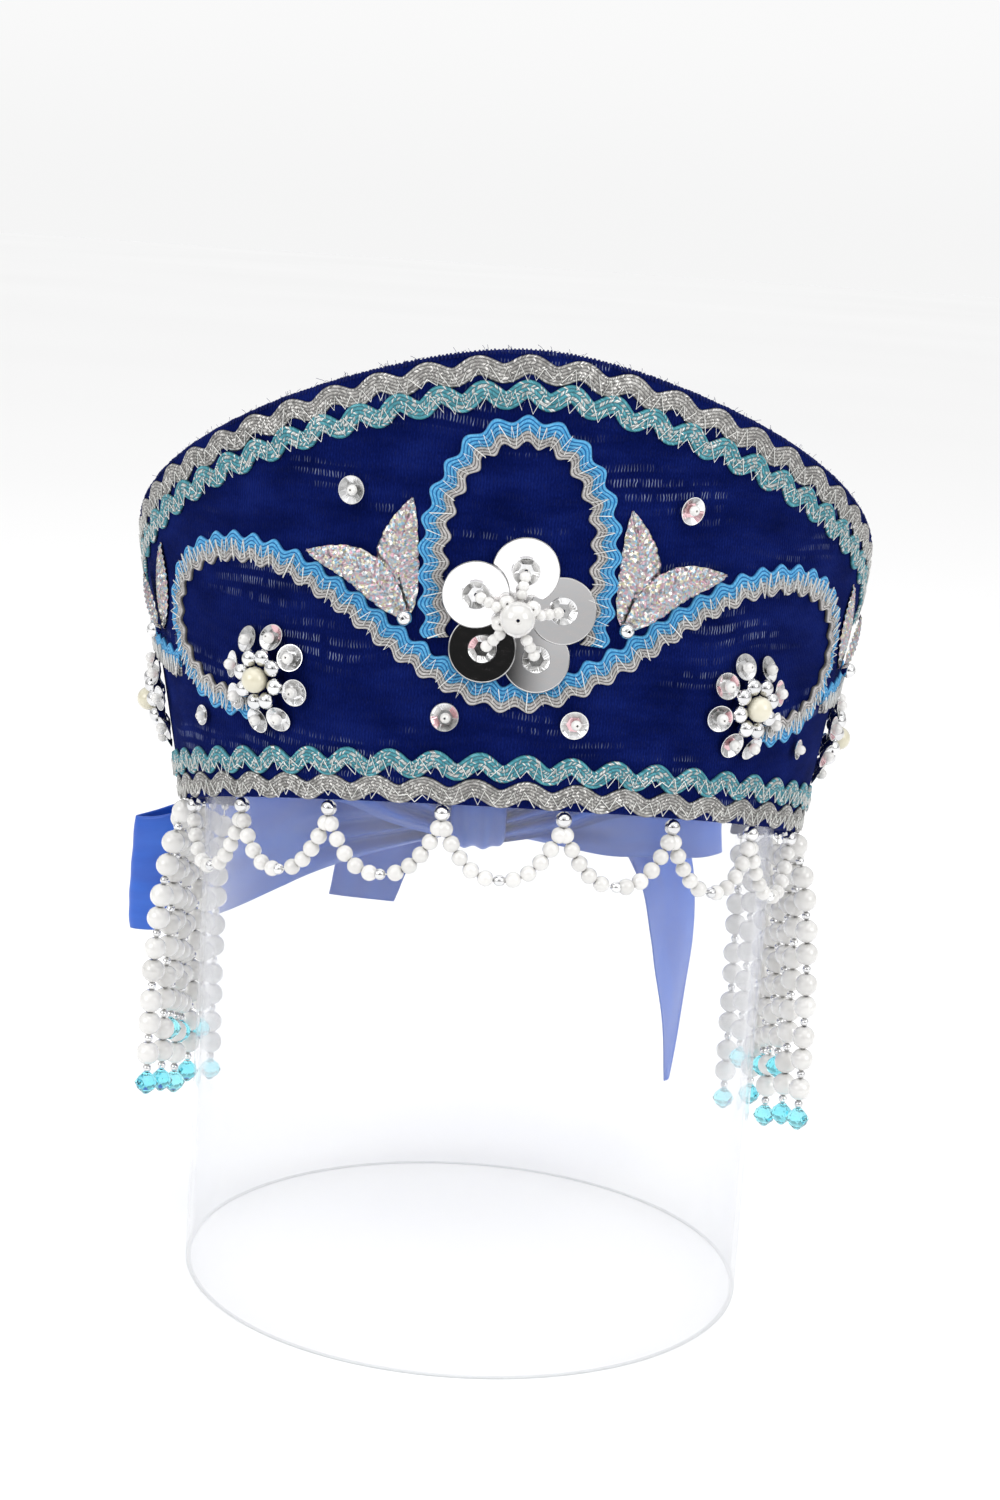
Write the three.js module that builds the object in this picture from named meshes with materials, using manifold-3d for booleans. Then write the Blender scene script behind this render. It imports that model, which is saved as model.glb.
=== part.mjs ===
// A kokoshnik headdress tied round a clear cylinder stand.
// Millimetres, +Z up, the wearer's face looks along -Y.
import * as THREE from 'three';
import { mergeVertices } from 'three/addons/utils/BufferGeometryUtils.js';
import Module from 'manifold-3d';

const wasm = await Module();
wasm.setup();

// Driving dimensions
const GAP = 0.35; // between pieces that touch on the real thing

const STAND = { radius: 83, wall: 1.5, height: 195, sides: 48 };

const CROWN = {
  radius: 89.8, // outside, at the bottom edge
  flareDeg: 12, // of the wall from the headdress's own axis
  wall: 2.2,
  endDeg: 119, // each back end, measured round from the front centre
  peak: 116.2, // slant height at the front centre
  fallPerDeg: 0.5, // how fast the top edge falls towards the sides
  softDeg: 12, // how wide the peak's rounding is
  tiltDeg: 14.5, // leans back
  pivotHeight: 139, // of the bottom edge's centre above the floor
  segments: 56,
};

// Wavy braids along the edges: up is the centre line's height above the bottom edge,
// down its depth below the top edge.
const EDGE_BRAIDS = [
  { name: 'bottom_silver_braid', up: 3.9, period: 13, swing: 1.9, width: 3.3, material: 'silverBraid' },
  { name: 'bottom_teal_braid', up: 10.9, period: 11.8, swing: 1.6, width: 3.0, material: 'tealBraid' },
  { name: 'top_silver_braid', down: 5.0, period: 13, swing: 1.9, width: 3.3, material: 'silverBraid' },
  { name: 'top_teal_braid', down: 12.0, period: 11.8, swing: 1.6, width: 3.0, material: 'tealBraid' },
];
const EDGE_BRAID_END_DEG = 117.5;
const BRAID_THICKNESS = 1.0;

// The scrollwork is two braids sewn side by side; offset is to the left of its run.
const SCROLL_BRAIDS = [
  { colour: 'blue', offset: 1.9, width: 3.4, material: 'blueBraid' },
  { colour: 'grey', offset: -1.75, width: 3.2, material: 'greyBraid' },
];

// Right halves of the scrollwork: degrees round from the front centre, and height up the wall.
const ARCH = [
  { deg: 0, up: 96.1 },
  { deg: 3.2, up: 95.2 },
  { deg: 6.2, up: 92 },
  { deg: 8.6, up: 86.5 },
  { deg: 11, up: 78 },
  { deg: 12.1, up: 68 },
  { deg: 12.2, up: 56 },
  { deg: 11.6, up: 43 },
];
const SCROLL = [
  { deg: 0, up: 28.2 },
  { deg: 7, up: 30.6 },
  { deg: 16.3, up: 39.5 },
  { deg: 25.8, up: 51.8 },
  { deg: 34, up: 60.6 },
  { deg: 41, up: 65.2 },
  { deg: 48, up: 67 },
  { deg: 55.2, up: 65.4 },
  { deg: 61.2, up: 60 },
  { deg: 64.2, up: 51 },
  { deg: 63.4, up: 41 },
  { deg: 59, up: 32.4 },
  { deg: 51.2, up: 26.2 },
];
const SIDE_SCROLL = [
  { deg: 66.3, up: 36.4 },
  { deg: 75, up: 40.8 },
  { deg: 85, up: 47 },
  { deg: 92.5, up: 51 },
  { deg: 99, up: 51.4 },
  { deg: 103.4, up: 47.4 },
  { deg: 103.2, up: 41.4 },
  { deg: 98.6, up: 38.4 },
];

// Five big sequins round a pearl; level says how many sequins each one lies over.
const ROSE = { up: 49.3, ring: 12, startDeg: 82, discRadius: 8.75, thickness: 0.3, cupRadius: 3.6 };
const ROSE_LEVELS = [1, 3, 2, 1, 0];
const PEARL_RADIUS = 4.6;

// Small flowers: eight cup sequins outside a ring of beads, round one cream bead.
const FLOWERS = [
  { name: 'front', deg: 42.2, up: 30 },
  { name: 'side', deg: 88, up: 29.4 },
];
const FLOWER = { petals: 8, petalRing: 10.8, petalRadius: 3.4, beadRing: 5.7, beadRadius: 1.9, heart: 3 };

// Leaf pairs: both leaves start under one bead.
const LEAF_PAIRS = [
  {
    name: 'front',
    base: { deg: 16.1, up: 48 },
    leaves: [
      { mid: { deg: 17.3, up: 63 }, tip: { deg: 15, up: 78.6 }, halfWidth: 4.6 },
      { mid: { deg: 23, up: 60.4 }, tip: { deg: 31.6, up: 65.2 }, halfWidth: 4.0 },
    ],
  },
  {
    name: 'side',
    base: { deg: 73, up: 47.6 },
    leaves: [
      { mid: { deg: 69.8, up: 59 }, tip: { deg: 68, up: 71 }, halfWidth: 3.8 },
      { mid: { deg: 77, up: 57 }, tip: { deg: 80, up: 65 }, halfWidth: 3.6 },
    ],
  },
];
const LEAF_THICKNESS = 0.5;
const LEAF_BEAD_RADIUS = 2.1;

// Lone cup sequins scattered over the cloth.
const SEQUINS = [
  { name: 'upper', deg: 24, up: 80.5, radius: 3.6 },
  { name: 'lower', deg: 10.1, up: 22.4, radius: 3.6 },
  { name: 'side', deg: 59, up: 22.2, radius: 2.6 },
];

// The pearl string hangs in swags below the front edge, from evenly spaced points.
const SWAGS = { count: 7, stepDeg: 20.6, depth: 17, stringRadius: 2, steps: 6 };

// Bead strands at the temples, from front to back; lean is outwards.
const STRANDS = [
  { deg: 77.5, pairs: 5, leanDeg: 7 },
  { deg: 83, pairs: 5, leanDeg: 3 },
  { deg: 88.5, pairs: 4, leanDeg: 1.5 },
  { deg: 94, pairs: 5, leanDeg: 0.5 },
  { deg: 99.5, pairs: 4, leanDeg: 1 },
  { deg: 105, pairs: 5, leanDeg: 0.5 },
  { deg: 110.5, pairs: 4, leanDeg: 0.5 },
  { deg: 116, pairs: 5, leanDeg: 1.5 },
];
const STRAND = { beadRadius: 3, pairPitch: 14, crystalRadius: 3.4, crystalLength: 6.4, sides: 8 };

// Satin ribbons: tied in a bow behind the stand. x is away from the knot, out is the distance
// behind the stand's axis.
const RIBBON_THICKNESS = 1;
const KNOT = { radius: 9.5, halfHeight: 12, height: 118 };
const TIE = {
  startDeg: 112,
  endDeg: 118.5,
  turnIn: 0.8, // how far it has left the wall at its back end
  up: 23,
  wideWidth: 38,
  knotWidth: 18,
  circleDegs: [33, 20], // where it lies against the stand, from the knot
};
const BOW_LOOPS = [
  { name: 'bow_loop_left', side: -1, reach: 106, out: 72, sag: 4, width: 40 },
  { name: 'bow_loop_right', side: 1, reach: 84, out: 80, sag: -9, width: 36 },
];
const TAILS = [
  {
    name: 'bow_tail_left',
    side: -1,
    path: [
      { x: 3.5, out: 102.7, z: 113, width: 12, turnDeg: 80, twistDeg: 0 },
      { x: 20, out: 108, z: 114, width: 20, turnDeg: 60, twistDeg: 0 },
      { x: 37, out: 107, z: 109, width: 27, turnDeg: 25, twistDeg: 0 },
      { x: 43, out: 105, z: 97, width: 26, turnDeg: 10, twistDeg: 0 },
    ],
  },
  {
    name: 'bow_tail_right',
    side: 1,
    path: [
      { x: 3.5, out: 102.7, z: 113, width: 12, turnDeg: 80, twistDeg: 0 },
      { x: 30, out: 109, z: 113, width: 24, turnDeg: 60, twistDeg: 10 },
      { x: 53, out: 103, z: 97, width: 34, turnDeg: 15, twistDeg: 40 },
      { x: 60, out: 95, z: 66, width: 36, turnDeg: 0, twistDeg: 62 },
      { x: 64, out: 92, z: 30, width: 26, turnDeg: 0, twistDeg: 76 },
    ],
  },
];

const COLOURS = {
  clear: { color: 0xf4f7f9, roughness: 0.08, metalness: 0, transparent: true, opacity: 0.3 },
  cloth: { color: 0x0b1c7a, roughness: 0.95, metalness: 0 },
  silverBraid: { color: 0xb9b7b4, roughness: 0.45, metalness: 0.6 },
  tealBraid: { color: 0x6fb6c2, roughness: 0.5, metalness: 0.4 },
  blueBraid: { color: 0x5fb8e6, roughness: 0.7, metalness: 0 },
  greyBraid: { color: 0xb4bac4, roughness: 0.7, metalness: 0 },
  mirror: { color: 0xd9dbde, roughness: 0.08, metalness: 1 },
  cup: { color: 0xe6e8ea, roughness: 0.15, metalness: 0.8 },
  foil: { color: 0xc3c6cc, roughness: 0.25, metalness: 0.8 },
  pearl: { color: 0xf3f0ea, roughness: 0.2, metalness: 0 },
  satin: { color: 0x2450c8, roughness: 0.4, metalness: 0 },
};

const rad = THREE.MathUtils.degToRad;
const materials = {};
for (const [name, look] of Object.entries(COLOURS)) {
  materials[name] = new THREE.MeshStandardMaterial(look);
}

const model = new THREE.Group();
const hat = new THREE.Group();
hat.rotation.x = -rad(CROWN.tiltDeg);
hat.position.z = CROWN.pivotHeight;
hat.updateMatrix();
model.add(hat);

function addMesh(parent, name, geometry, material) {
  const mesh = new THREE.Mesh(geometry, materials[material]);
  mesh.name = name;
  parent.add(mesh);
  return mesh;
}

// The flat pattern: the wall unrolled from its cone, x along the edge and y up from it, in mm.
const sinFlare = Math.sin(rad(CROWN.flareDeg));
const cosFlare = Math.cos(rad(CROWN.flareDeg));
const slantToApex = CROWN.radius / sinFlare;

function flat({ deg, up }) {
  const angle = rad(deg) * sinFlare;
  const slant = slantToApex + up;
  return new THREE.Vector2(slant * Math.sin(angle), slant * Math.cos(angle) - slantToApex);
}

// Rolls a point of the flat pattern, lifted off the cloth, back onto the cone.
function roll(x, y, lift) {
  const slant = Math.hypot(x, y + slantToApex);
  const turn = Math.atan2(x, y + slantToApex) / sinFlare;
  const radius = slant * sinFlare + lift * cosFlare;
  const height = (slant - slantToApex) * cosFlare - lift * sinFlare;
  return new THREE.Vector3(radius * Math.sin(turn), -radius * Math.cos(turn), height);
}

function onWall(place, lift) {
  const { x, y } = flat(place);
  return roll(x, y, lift);
}

function inRoom(point) {
  return point.applyMatrix4(hat.matrix);
}

function mapVertices(geometry, placeVertex) {
  const position = geometry.attributes.position;
  for (let i = 0; i < position.count; i += 1) {
    const { x, y, z } = placeVertex(position.getX(i), position.getY(i), position.getZ(i));
    position.setXYZ(i, x, y, z);
  }
  geometry.computeVertexNormals();
  return geometry;
}

function topEdge(deg) {
  return CROWN.peak - CROWN.fallPerDeg * (Math.hypot(deg, CROWN.softDeg) - CROWN.softDeg);
}

// Stand
function standGeometry() {
  const inner = STAND.radius - STAND.wall;
  const ring = [
    new THREE.Vector2(inner, 0),
    new THREE.Vector2(STAND.radius, 0),
    new THREE.Vector2(STAND.radius, STAND.height),
    new THREE.Vector2(inner, STAND.height),
    new THREE.Vector2(inner, 0),
  ];
  return new THREE.LatheGeometry(ring, STAND.sides).rotateX(Math.PI / 2);
}
addMesh(model, 'stand', standGeometry(), 'clear');

// Crown wall: a strip that runs from one back end to the other
function crownGeometry() {
  const strip = new THREE.BoxGeometry(2 * CROWN.endDeg, 1, CROWN.wall, CROWN.segments, 1, 1);
  return mapVertices(strip, (deg, v, depth) => {
    const up = (v + 0.5) * topEdge(deg);
    return onWall({ deg, up }, depth - CROWN.wall / 2);
  });
}
addMesh(hat, 'crown_wall', crownGeometry(), 'cloth');

// Wavy braids along the top and bottom edges
function edgeBraidGeometry({ up, down, period, swing, width }) {
  const centreUp = up ?? CROWN.peak - down;
  const degPerMm = 180 / (Math.PI * (CROWN.radius + centreUp * sinFlare));
  const waves = Math.round((2 * EDGE_BRAID_END_DEG) / (period * degPerMm));
  const strip = new THREE.BoxGeometry(1, width, BRAID_THICKNESS, 2 * waves, 1, 1);
  return mapVertices(strip, (along, across, depth) => {
    const deg = 2 * EDGE_BRAID_END_DEG * along;
    const side = Math.round((along + 0.5) * 2 * waves) % 2 === 0 ? 1 : -1;
    const centre = up ?? topEdge(deg) - down;
    return onWall({ deg, up: centre + across + side * swing }, GAP + BRAID_THICKNESS / 2 + depth);
  });
}
for (const braid of EDGE_BRAIDS) {
  addMesh(hat, braid.name, edgeBraidGeometry(braid), braid.material);
}

// A flat band along a curve of the flat pattern; halfWidth may change along it
function bandGeometry(curve, steps, offset, halfWidth, thickness, lift) {
  const strip = new THREE.BoxGeometry(1, 2, thickness, steps, 1, 1);
  return mapVertices(strip, (along, across, depth) => {
    const run = THREE.MathUtils.clamp(along + 0.5, 0, 1);
    const point = curve.getPointAt(run);
    const heading = curve.getTangentAt(run);
    const reach = offset + across * halfWidth(run);
    const x = point.x - heading.y * reach;
    const y = point.y + heading.x * reach;
    return roll(x, y, lift + thickness / 2 + depth);
  });
}

function mirrored(rows, side) {
  return rows.map((row) => ({ ...row, deg: side * row.deg }));
}

function wholeRun(half) {
  const left = mirrored(half.slice(1), -1).reverse();
  return new THREE.SplineCurve([...left, ...half].map(flat));
}

const RUN_STEP = 6; // mm
function addDoubleBraid(name, curve, blueSide) {
  const steps = Math.round(curve.getLength() / RUN_STEP);
  for (const { colour, offset, width, material } of SCROLL_BRAIDS) {
    const halfWidth = () => width / 2;
    const band = bandGeometry(curve, steps, blueSide * offset, halfWidth, BRAID_THICKNESS, GAP);
    addMesh(hat, `${name}_${colour}_braid`, band, material);
  }
}
addDoubleBraid('arch', wholeRun(ARCH), 1);
addDoubleBraid('scroll', wholeRun(SCROLL), 1);
const SIDES = [
  { side: -1, word: 'left' },
  { side: 1, word: 'right' },
];
for (const { side, word } of SIDES) {
  const run = new THREE.SplineCurve(mirrored(SIDE_SCROLL, side).map(flat));
  addDoubleBraid(`${word}_side_scroll`, run, side);
}

// Turns a piece whose own +Z points off the cloth, with +Y up the wall, to its place there
function seat(mesh, x, y, lift) {
  const step = 0.5;
  const right = roll(x + step, y, 0).sub(roll(x - step, y, 0)).normalize();
  const upward = roll(x, y + step, 0).sub(roll(x, y - step, 0)).normalize();
  const outward = new THREE.Vector3().crossVectors(right, upward);
  mesh.quaternion.setFromRotationMatrix(new THREE.Matrix4().makeBasis(right, upward, outward));
  mesh.position.copy(roll(x, y, lift));
}

function lathe(profile, sides) {
  const points = profile.map(({ r, z }) => new THREE.Vector2(r, z));
  return new THREE.LatheGeometry(points, sides).rotateX(Math.PI / 2);
}

// Big sequins, each with a small cup sewn on it. They lie level, and the lower ones rest on the scroll.
function roseDisc() {
  const { discRadius, thickness, cupRadius } = ROSE;
  const cupRise = 1.1;
  const cupFloor = 0.5;
  return lathe([
    { r: 0, z: 0 },
    { r: discRadius, z: 0 },
    { r: discRadius, z: thickness },
    { r: cupRadius * 0.6, z: thickness },
    { r: cupRadius, z: thickness + cupRise },
    { r: 0, z: thickness + cupFloor },
  ], 16);
}
const rose = new THREE.Group();
const roseCentre = flat({ deg: 0, up: ROSE.up });
const layer = ROSE.thickness + GAP;
seat(rose, roseCentre.x, roseCentre.y, BRAID_THICKNESS + 2 * GAP - layer);
hat.add(rose);
ROSE_LEVELS.forEach((level, i) => {
  const angle = rad(ROSE.startDeg + (i * 360) / ROSE_LEVELS.length);
  const disc = addMesh(rose, `rose_sequin_${i + 1}`, roseDisc(), 'mirror');
  disc.position.set(ROSE.ring * Math.cos(angle), ROSE.ring * Math.sin(angle), level * layer);
});

// The pearl sits in the middle, on the rims of the sequins
function pearlLift() {
  const top = Math.max(...ROSE_LEVELS) * layer + ROSE.thickness;
  const hole = ROSE.ring - ROSE.discRadius - GAP;
  return top + Math.sqrt(PEARL_RADIUS ** 2 - hole ** 2);
}
const pearl = addMesh(rose, 'rose_pearl', new THREE.SphereGeometry(PEARL_RADIUS, 12, 8), 'pearl');
pearl.position.z = pearlLift();

// Joins closed geometries into one body
function toSolid(geometry) {
  geometry.deleteAttribute('normal');
  geometry.deleteAttribute('uv');
  const merged = mergeVertices(geometry, 1e-4);
  const corners = Array.from(merged.index.array);
  const triVerts = [];
  for (let i = 0; i < corners.length; i += 3) {
    const [a, b, c] = corners.slice(i, i + 3);
    if (a !== b && b !== c && c !== a) triVerts.push(a, b, c);
  }
  const vertProperties = new Float32Array(merged.attributes.position.array);
  return new wasm.Manifold(new wasm.Mesh({ numProp: 3, vertProperties, triVerts: new Uint32Array(triVerts) }));
}

function fuse(geometries) {
  const whole = geometries.map(toSolid).reduce((body, piece) => body.add(piece));
  const { vertProperties, triVerts } = whole.getMesh();
  const geometry = new THREE.BufferGeometry();
  geometry.setAttribute('position', new THREE.BufferAttribute(vertProperties, 3));
  geometry.setIndex(new THREE.BufferAttribute(triVerts, 1));
  return geometry;
}

// A cup sequin: a thin dish
function cupSequin(radius, sides) {
  const rise = radius * 0.3;
  const thickness = 0.3;
  return lathe([
    { r: 0, z: 0 },
    { r: radius * 0.55, z: 0 },
    { r: radius, z: rise },
    { r: radius, z: rise + thickness },
    { r: 0, z: thickness },
  ], sides);
}

// Small flowers: the rim is scalloped into petals, and the beads inside it are a raised ring
function flowerGeometry() {
  const { petals, petalRing, petalRadius, beadRing, beadRadius, heart } = FLOWER;
  const rim = petalRing + petalRadius;
  const notch = petalRing - petalRadius * 0.4;
  const cupRise = 1.2;
  const thickness = 0.4;
  const body = lathe([
    { r: 0, z: 0 },
    { r: rim, z: cupRise },
    { r: rim, z: cupRise + thickness },
    { r: beadRing + beadRadius, z: 1 },
    { r: beadRing, z: 2 * beadRadius },
    { r: heart, z: beadRadius },
    { r: heart * 0.7, z: heart * 1.7 },
    { r: 0, z: heart * 2 },
  ], 4 * petals);
  return mapVertices(body, (x, y, z) => {
    const swing = Math.abs(Math.sin((petals / 2) * Math.atan2(y, x)));
    const reach = Math.hypot(x, y) < rim - 0.1 ? 1 : (notch + (rim - notch) * Math.sqrt(swing)) / rim;
    return { x: x * reach, y: y * reach, z };
  });
}

// Leaves: foil shapes that taper to both ends, joined by their bead
function leafPairGeometry({ base, leaves }, side) {
  const bead = flat({ deg: side * base.deg, up: base.up });
  const ball = new THREE.SphereGeometry(LEAF_BEAD_RADIUS, 10, 5);
  const { x, y, z } = roll(bead.x, bead.y, GAP + LEAF_BEAD_RADIUS);
  const pieces = [ball.translate(x, y, z)];
  leaves.forEach(({ mid, tip, halfWidth }, i) => {
    const rib = new THREE.SplineCurve(mirrored([base, mid, tip], side).map(flat));
    const taper = (run) => Math.max(0.25, halfWidth * Math.sin(Math.PI * run ** 0.8));
    const lift = GAP + i * LEAF_THICKNESS * 0.5;
    pieces.push(bandGeometry(rib, 6, 0, taper, LEAF_THICKNESS, lift));
  });
  return fuse(pieces);
}

for (const { side, word } of SIDES) {
  for (const { name, deg, up } of FLOWERS) {
    const place = flat({ deg: side * deg, up });
    seat(addMesh(hat, `${word}_${name}_flower`, flowerGeometry(), 'cup'), place.x, place.y, GAP);
  }
  for (const pair of LEAF_PAIRS) {
    addMesh(hat, `${word}_${pair.name}_leaves`, leafPairGeometry(pair, side), 'foil');
  }
  for (const { name, deg, up, radius } of SEQUINS) {
    const place = flat({ deg: side * deg, up });
    seat(addMesh(hat, `${word}_${name}_sequin`, cupSequin(radius, 10), 'cup'), place.x, place.y, GAP);
  }
}

// What hangs starts this far below the middle of the slanting bottom edge
const EDGE_DROP = 1.1;

// A point below the bottom edge, in the middle of the wall's thickness
function underEdge(deg, drop) {
  const edge = inRoom(onWall({ deg, up: 0 }, -CROWN.wall / 2));
  edge.z -= drop;
  return edge;
}

function octagon(radius) {
  const shape = new THREE.Shape();
  for (let i = 0; i < 8; i += 1) {
    const angle = (2 * Math.PI * i) / 8;
    const put = i === 0 ? 'moveTo' : 'lineTo';
    shape[put](radius * Math.cos(angle), radius * Math.sin(angle));
  }
  return shape;
}

// Pearl swags: one string that comes up to the edge between them
function swagGeometry() {
  const { count, stepDeg, depth, stringRadius, steps } = SWAGS;
  const hang = EDGE_DROP + stringRadius;
  const pieces = [];
  for (let i = 0; i < count; i += 1) {
    const deg = (i - count / 2) * stepDeg;
    const points = [];
    for (let k = 0; k <= steps; k += 1) {
      const run = k / steps;
      points.push(underEdge(deg + run * stepDeg, hang + depth * 4 * run * (1 - run)));
    }
    const path = new THREE.CatmullRomCurve3(points);
    pieces.push(new THREE.ExtrudeGeometry(octagon(stringRadius), { steps, extrudePath: path }));
  }
  return fuse(pieces);
}
addMesh(model, 'pearl_swags', swagGeometry(), 'pearl');

// Temple strands: a string of paired beads that ends in one bead and a cut crystal
function strandGeometry(pairs) {
  const { beadRadius, pairPitch, crystalRadius, crystalLength, sides } = STRAND;
  const beads = pairs * pairPitch + 2 * beadRadius;
  const table = 1;
  return lathe([
    { r: 0, z: -beads - crystalLength },
    { r: table, z: -beads - crystalLength },
    { r: crystalRadius, z: -beads - crystalLength / 2 },
    { r: table, z: -beads },
    { r: beadRadius, z: -beads + beadRadius * 0.7 },
    { r: beadRadius, z: -beadRadius * 0.5 },
    { r: beadRadius * 0.5, z: 0 },
    { r: 0, z: 0 },
  ], sides);
}
for (const { side, word } of SIDES) {
  STRANDS.forEach(({ deg, pairs, leanDeg }, i) => {
    const strand = addMesh(model, `${word}_strand_${i + 1}`, strandGeometry(pairs), 'pearl');
    const top = underEdge(side * deg, EDGE_DROP);
    const outward = new THREE.Vector3(top.x, top.y, 0).normalize();
    const axis = new THREE.Vector3(-outward.y, outward.x, 0);
    strand.position.copy(top);
    strand.quaternion.setFromAxisAngle(axis, -rad(leanDeg));
  });
}

// Splits the back's quads along the front's diagonals, so that a twisted strip keeps its thickness
function thinStrip(thickness, steps) {
  const strip = new THREE.BoxGeometry(1, 1, thickness, steps, 1, 1);
  const back = strip.groups[5];
  for (let i = back.start; i < back.start + back.count; i += 6) {
    const [a, b, d, , c] = strip.index.array.slice(i, i + 5);
    strip.index.array.set([a, b, c, a, c, d], i);
  }
  return strip;
}

// Ribbons: strips along a path in the room; each row gives the width and the way across
function ribbonGeometry(rows, steps) {
  const path = new THREE.CatmullRomCurve3(rows.map(({ at }) => at), false, 'centripetal');
  return mapVertices(thinStrip(RIBBON_THICKNESS, steps), (along, across, depth) => {
    const run = THREE.MathUtils.clamp(along + 0.5, 0, 1);
    const place = run * (rows.length - 1);
    const low = Math.min(Math.floor(place), rows.length - 2);
    const heading = path.getTangent(run);
    const width = THREE.MathUtils.lerp(rows[low].width, rows[low + 1].width, place - low);
    const over = rows[low].over.clone().lerp(rows[low + 1].over, place - low).normalize();
    const face = new THREE.Vector3().crossVectors(heading, over).normalize();
    return path.getPoint(run).addScaledVector(over, across * width).addScaledVector(face, depth);
  });
}

const UP = new THREE.Vector3(0, 0, 1);
const knotOut = STAND.radius + GAP + KNOT.radius;
function knotGeometry() {
  const { radius, halfHeight } = KNOT;
  return lathe([
    { r: 0, z: -halfHeight },
    { r: radius * 0.8, z: -halfHeight * 0.92 },
    { r: radius, z: -halfHeight * 0.35 },
    { r: radius, z: halfHeight * 0.35 },
    { r: radius * 0.8, z: halfHeight * 0.92 },
    { r: 0, z: halfHeight },
  ], 14);
}
const knot = addMesh(model, 'bow_knot', knotGeometry(), 'satin');
knot.position.set(0, knotOut, KNOT.height);

// Each tie is sewn inside the crown's back end and runs round the stand to the knot
function tieGeometry(side) {
  const { startDeg, endDeg, turnIn, up, wideWidth, knotWidth, circleDegs } = TIE;
  const sewn = [startDeg, endDeg].map((deg, i) => {
    const inside = -(CROWN.wall + GAP + RIBBON_THICKNESS / 2 + i * turnIn);
    const at = inRoom(onWall({ deg: side * deg, up }, inside));
    const higher = inRoom(onWall({ deg: side * deg, up: up + 1 }, inside));
    return { at, width: wideWidth, over: higher.sub(at) };
  });
  const round = STAND.radius + GAP + RIBBON_THICKNESS;
  const last = sewn[1].at.z;
  const wrapped = circleDegs.map((deg, i) => ({
    at: new THREE.Vector3(
      side * round * Math.sin(rad(deg)),
      round * Math.cos(rad(deg)),
      THREE.MathUtils.lerp(last, KNOT.height, (i + 1) / (circleDegs.length + 1)),
    ),
    width: THREE.MathUtils.lerp(wideWidth, knotWidth, (i + 1) / (circleDegs.length + 1)),
    over: UP,
  }));
  const end = {
    at: new THREE.Vector3(side * (KNOT.radius + GAP), knotOut - 2, KNOT.height),
    width: knotWidth,
    over: UP,
  };
  return ribbonGeometry([...sewn, ...wrapped, end], 16);
}
for (const { side, word } of SIDES) {
  addMesh(model, `${word}_tie`, tieGeometry(side), 'satin');
}

// Bow loops: out from the knot, round a fold and back
function loopGeometry({ side, reach, out, sag, width }) {
  const start = KNOT.radius + 2 * GAP;
  const fold = KNOT.height - sag;
  const gathered = width * 0.4;
  const rows = [
    { x: start, y: knotOut + 2, z: KNOT.height, width: gathered },
    { x: reach * 0.5, y: (knotOut + out) / 2 - 2, z: (KNOT.height + fold) / 2, width: width * 0.85 },
    { x: reach * 0.86, y: out - 4, z: fold, width },
    { x: reach, y: out + 2, z: fold, width },
    { x: reach * 0.9, y: out + 8, z: fold, width },
    { x: reach * 0.5, y: (knotOut + out) / 2 + 13, z: (KNOT.height + fold) / 2, width: width * 0.85 },
    { x: start, y: knotOut + 6, z: KNOT.height, width: gathered },
  ];
  const strip = rows.map(({ x, y, z, width: across }) => (
    { at: new THREE.Vector3(side * x, y, z), width: across, over: UP }
  ));
  return ribbonGeometry(strip, 22);
}
for (const loop of BOW_LOOPS) {
  addMesh(model, loop.name, loopGeometry(loop), 'satin');
}

// Tails: turn says how far the strip's width has swung from level to upright,
// twist how far it has swung round the vertical
function tailGeometry({ side, path }) {
  const rows = path.map(({ x, out, z, width, turnDeg, twistDeg }) => {
    const over = new THREE.Vector3(side * Math.cos(rad(twistDeg)), Math.sin(rad(twistDeg)), 0);
    over.multiplyScalar(Math.cos(rad(turnDeg))).addScaledVector(UP, Math.sin(rad(turnDeg)));
    return { at: new THREE.Vector3(side * x, out, z), width, over };
  });
  return ribbonGeometry(rows, 14);
}
for (const tail of TAILS) {
  addMesh(model, tail.name, tailGeometry(tail), 'satin');
}

// The origin is on the floor, under the middle of the whole
const whole = new THREE.Box3().setFromObject(model, true);
const middle = whole.getCenter(new THREE.Vector3());
model.position.set(-middle.x, -middle.y, -whole.min.z);
const part = new THREE.Group();
part.add(model);

export default part;
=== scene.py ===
"""A kokoshnik headdress on a clear cylinder stand: the looks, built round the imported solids.

Sizes and places are in millimetres and become metres where a mesh is made. A place on the crown is
given in degrees round it from the front and in mm up its slant, as the solids' source gives it.
"""
from math import asin, cos, exp, pi, radians, sin, sqrt

import bpy
import numpy as np
from mathutils import Matrix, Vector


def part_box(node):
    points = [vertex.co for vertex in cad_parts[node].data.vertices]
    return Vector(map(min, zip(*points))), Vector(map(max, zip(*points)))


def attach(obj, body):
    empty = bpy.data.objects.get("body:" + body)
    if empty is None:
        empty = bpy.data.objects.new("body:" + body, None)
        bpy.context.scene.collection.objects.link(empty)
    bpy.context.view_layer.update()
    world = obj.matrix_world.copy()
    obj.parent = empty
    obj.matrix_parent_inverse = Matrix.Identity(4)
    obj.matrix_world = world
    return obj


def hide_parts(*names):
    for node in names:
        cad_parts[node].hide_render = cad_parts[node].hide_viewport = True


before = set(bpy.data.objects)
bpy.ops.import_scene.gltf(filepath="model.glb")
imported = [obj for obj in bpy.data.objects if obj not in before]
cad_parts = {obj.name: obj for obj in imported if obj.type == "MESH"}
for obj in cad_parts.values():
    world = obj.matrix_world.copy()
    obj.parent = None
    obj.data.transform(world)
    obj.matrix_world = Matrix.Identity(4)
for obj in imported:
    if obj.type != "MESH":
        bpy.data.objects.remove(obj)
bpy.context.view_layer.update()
rng = np.random.default_rng(11)

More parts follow.
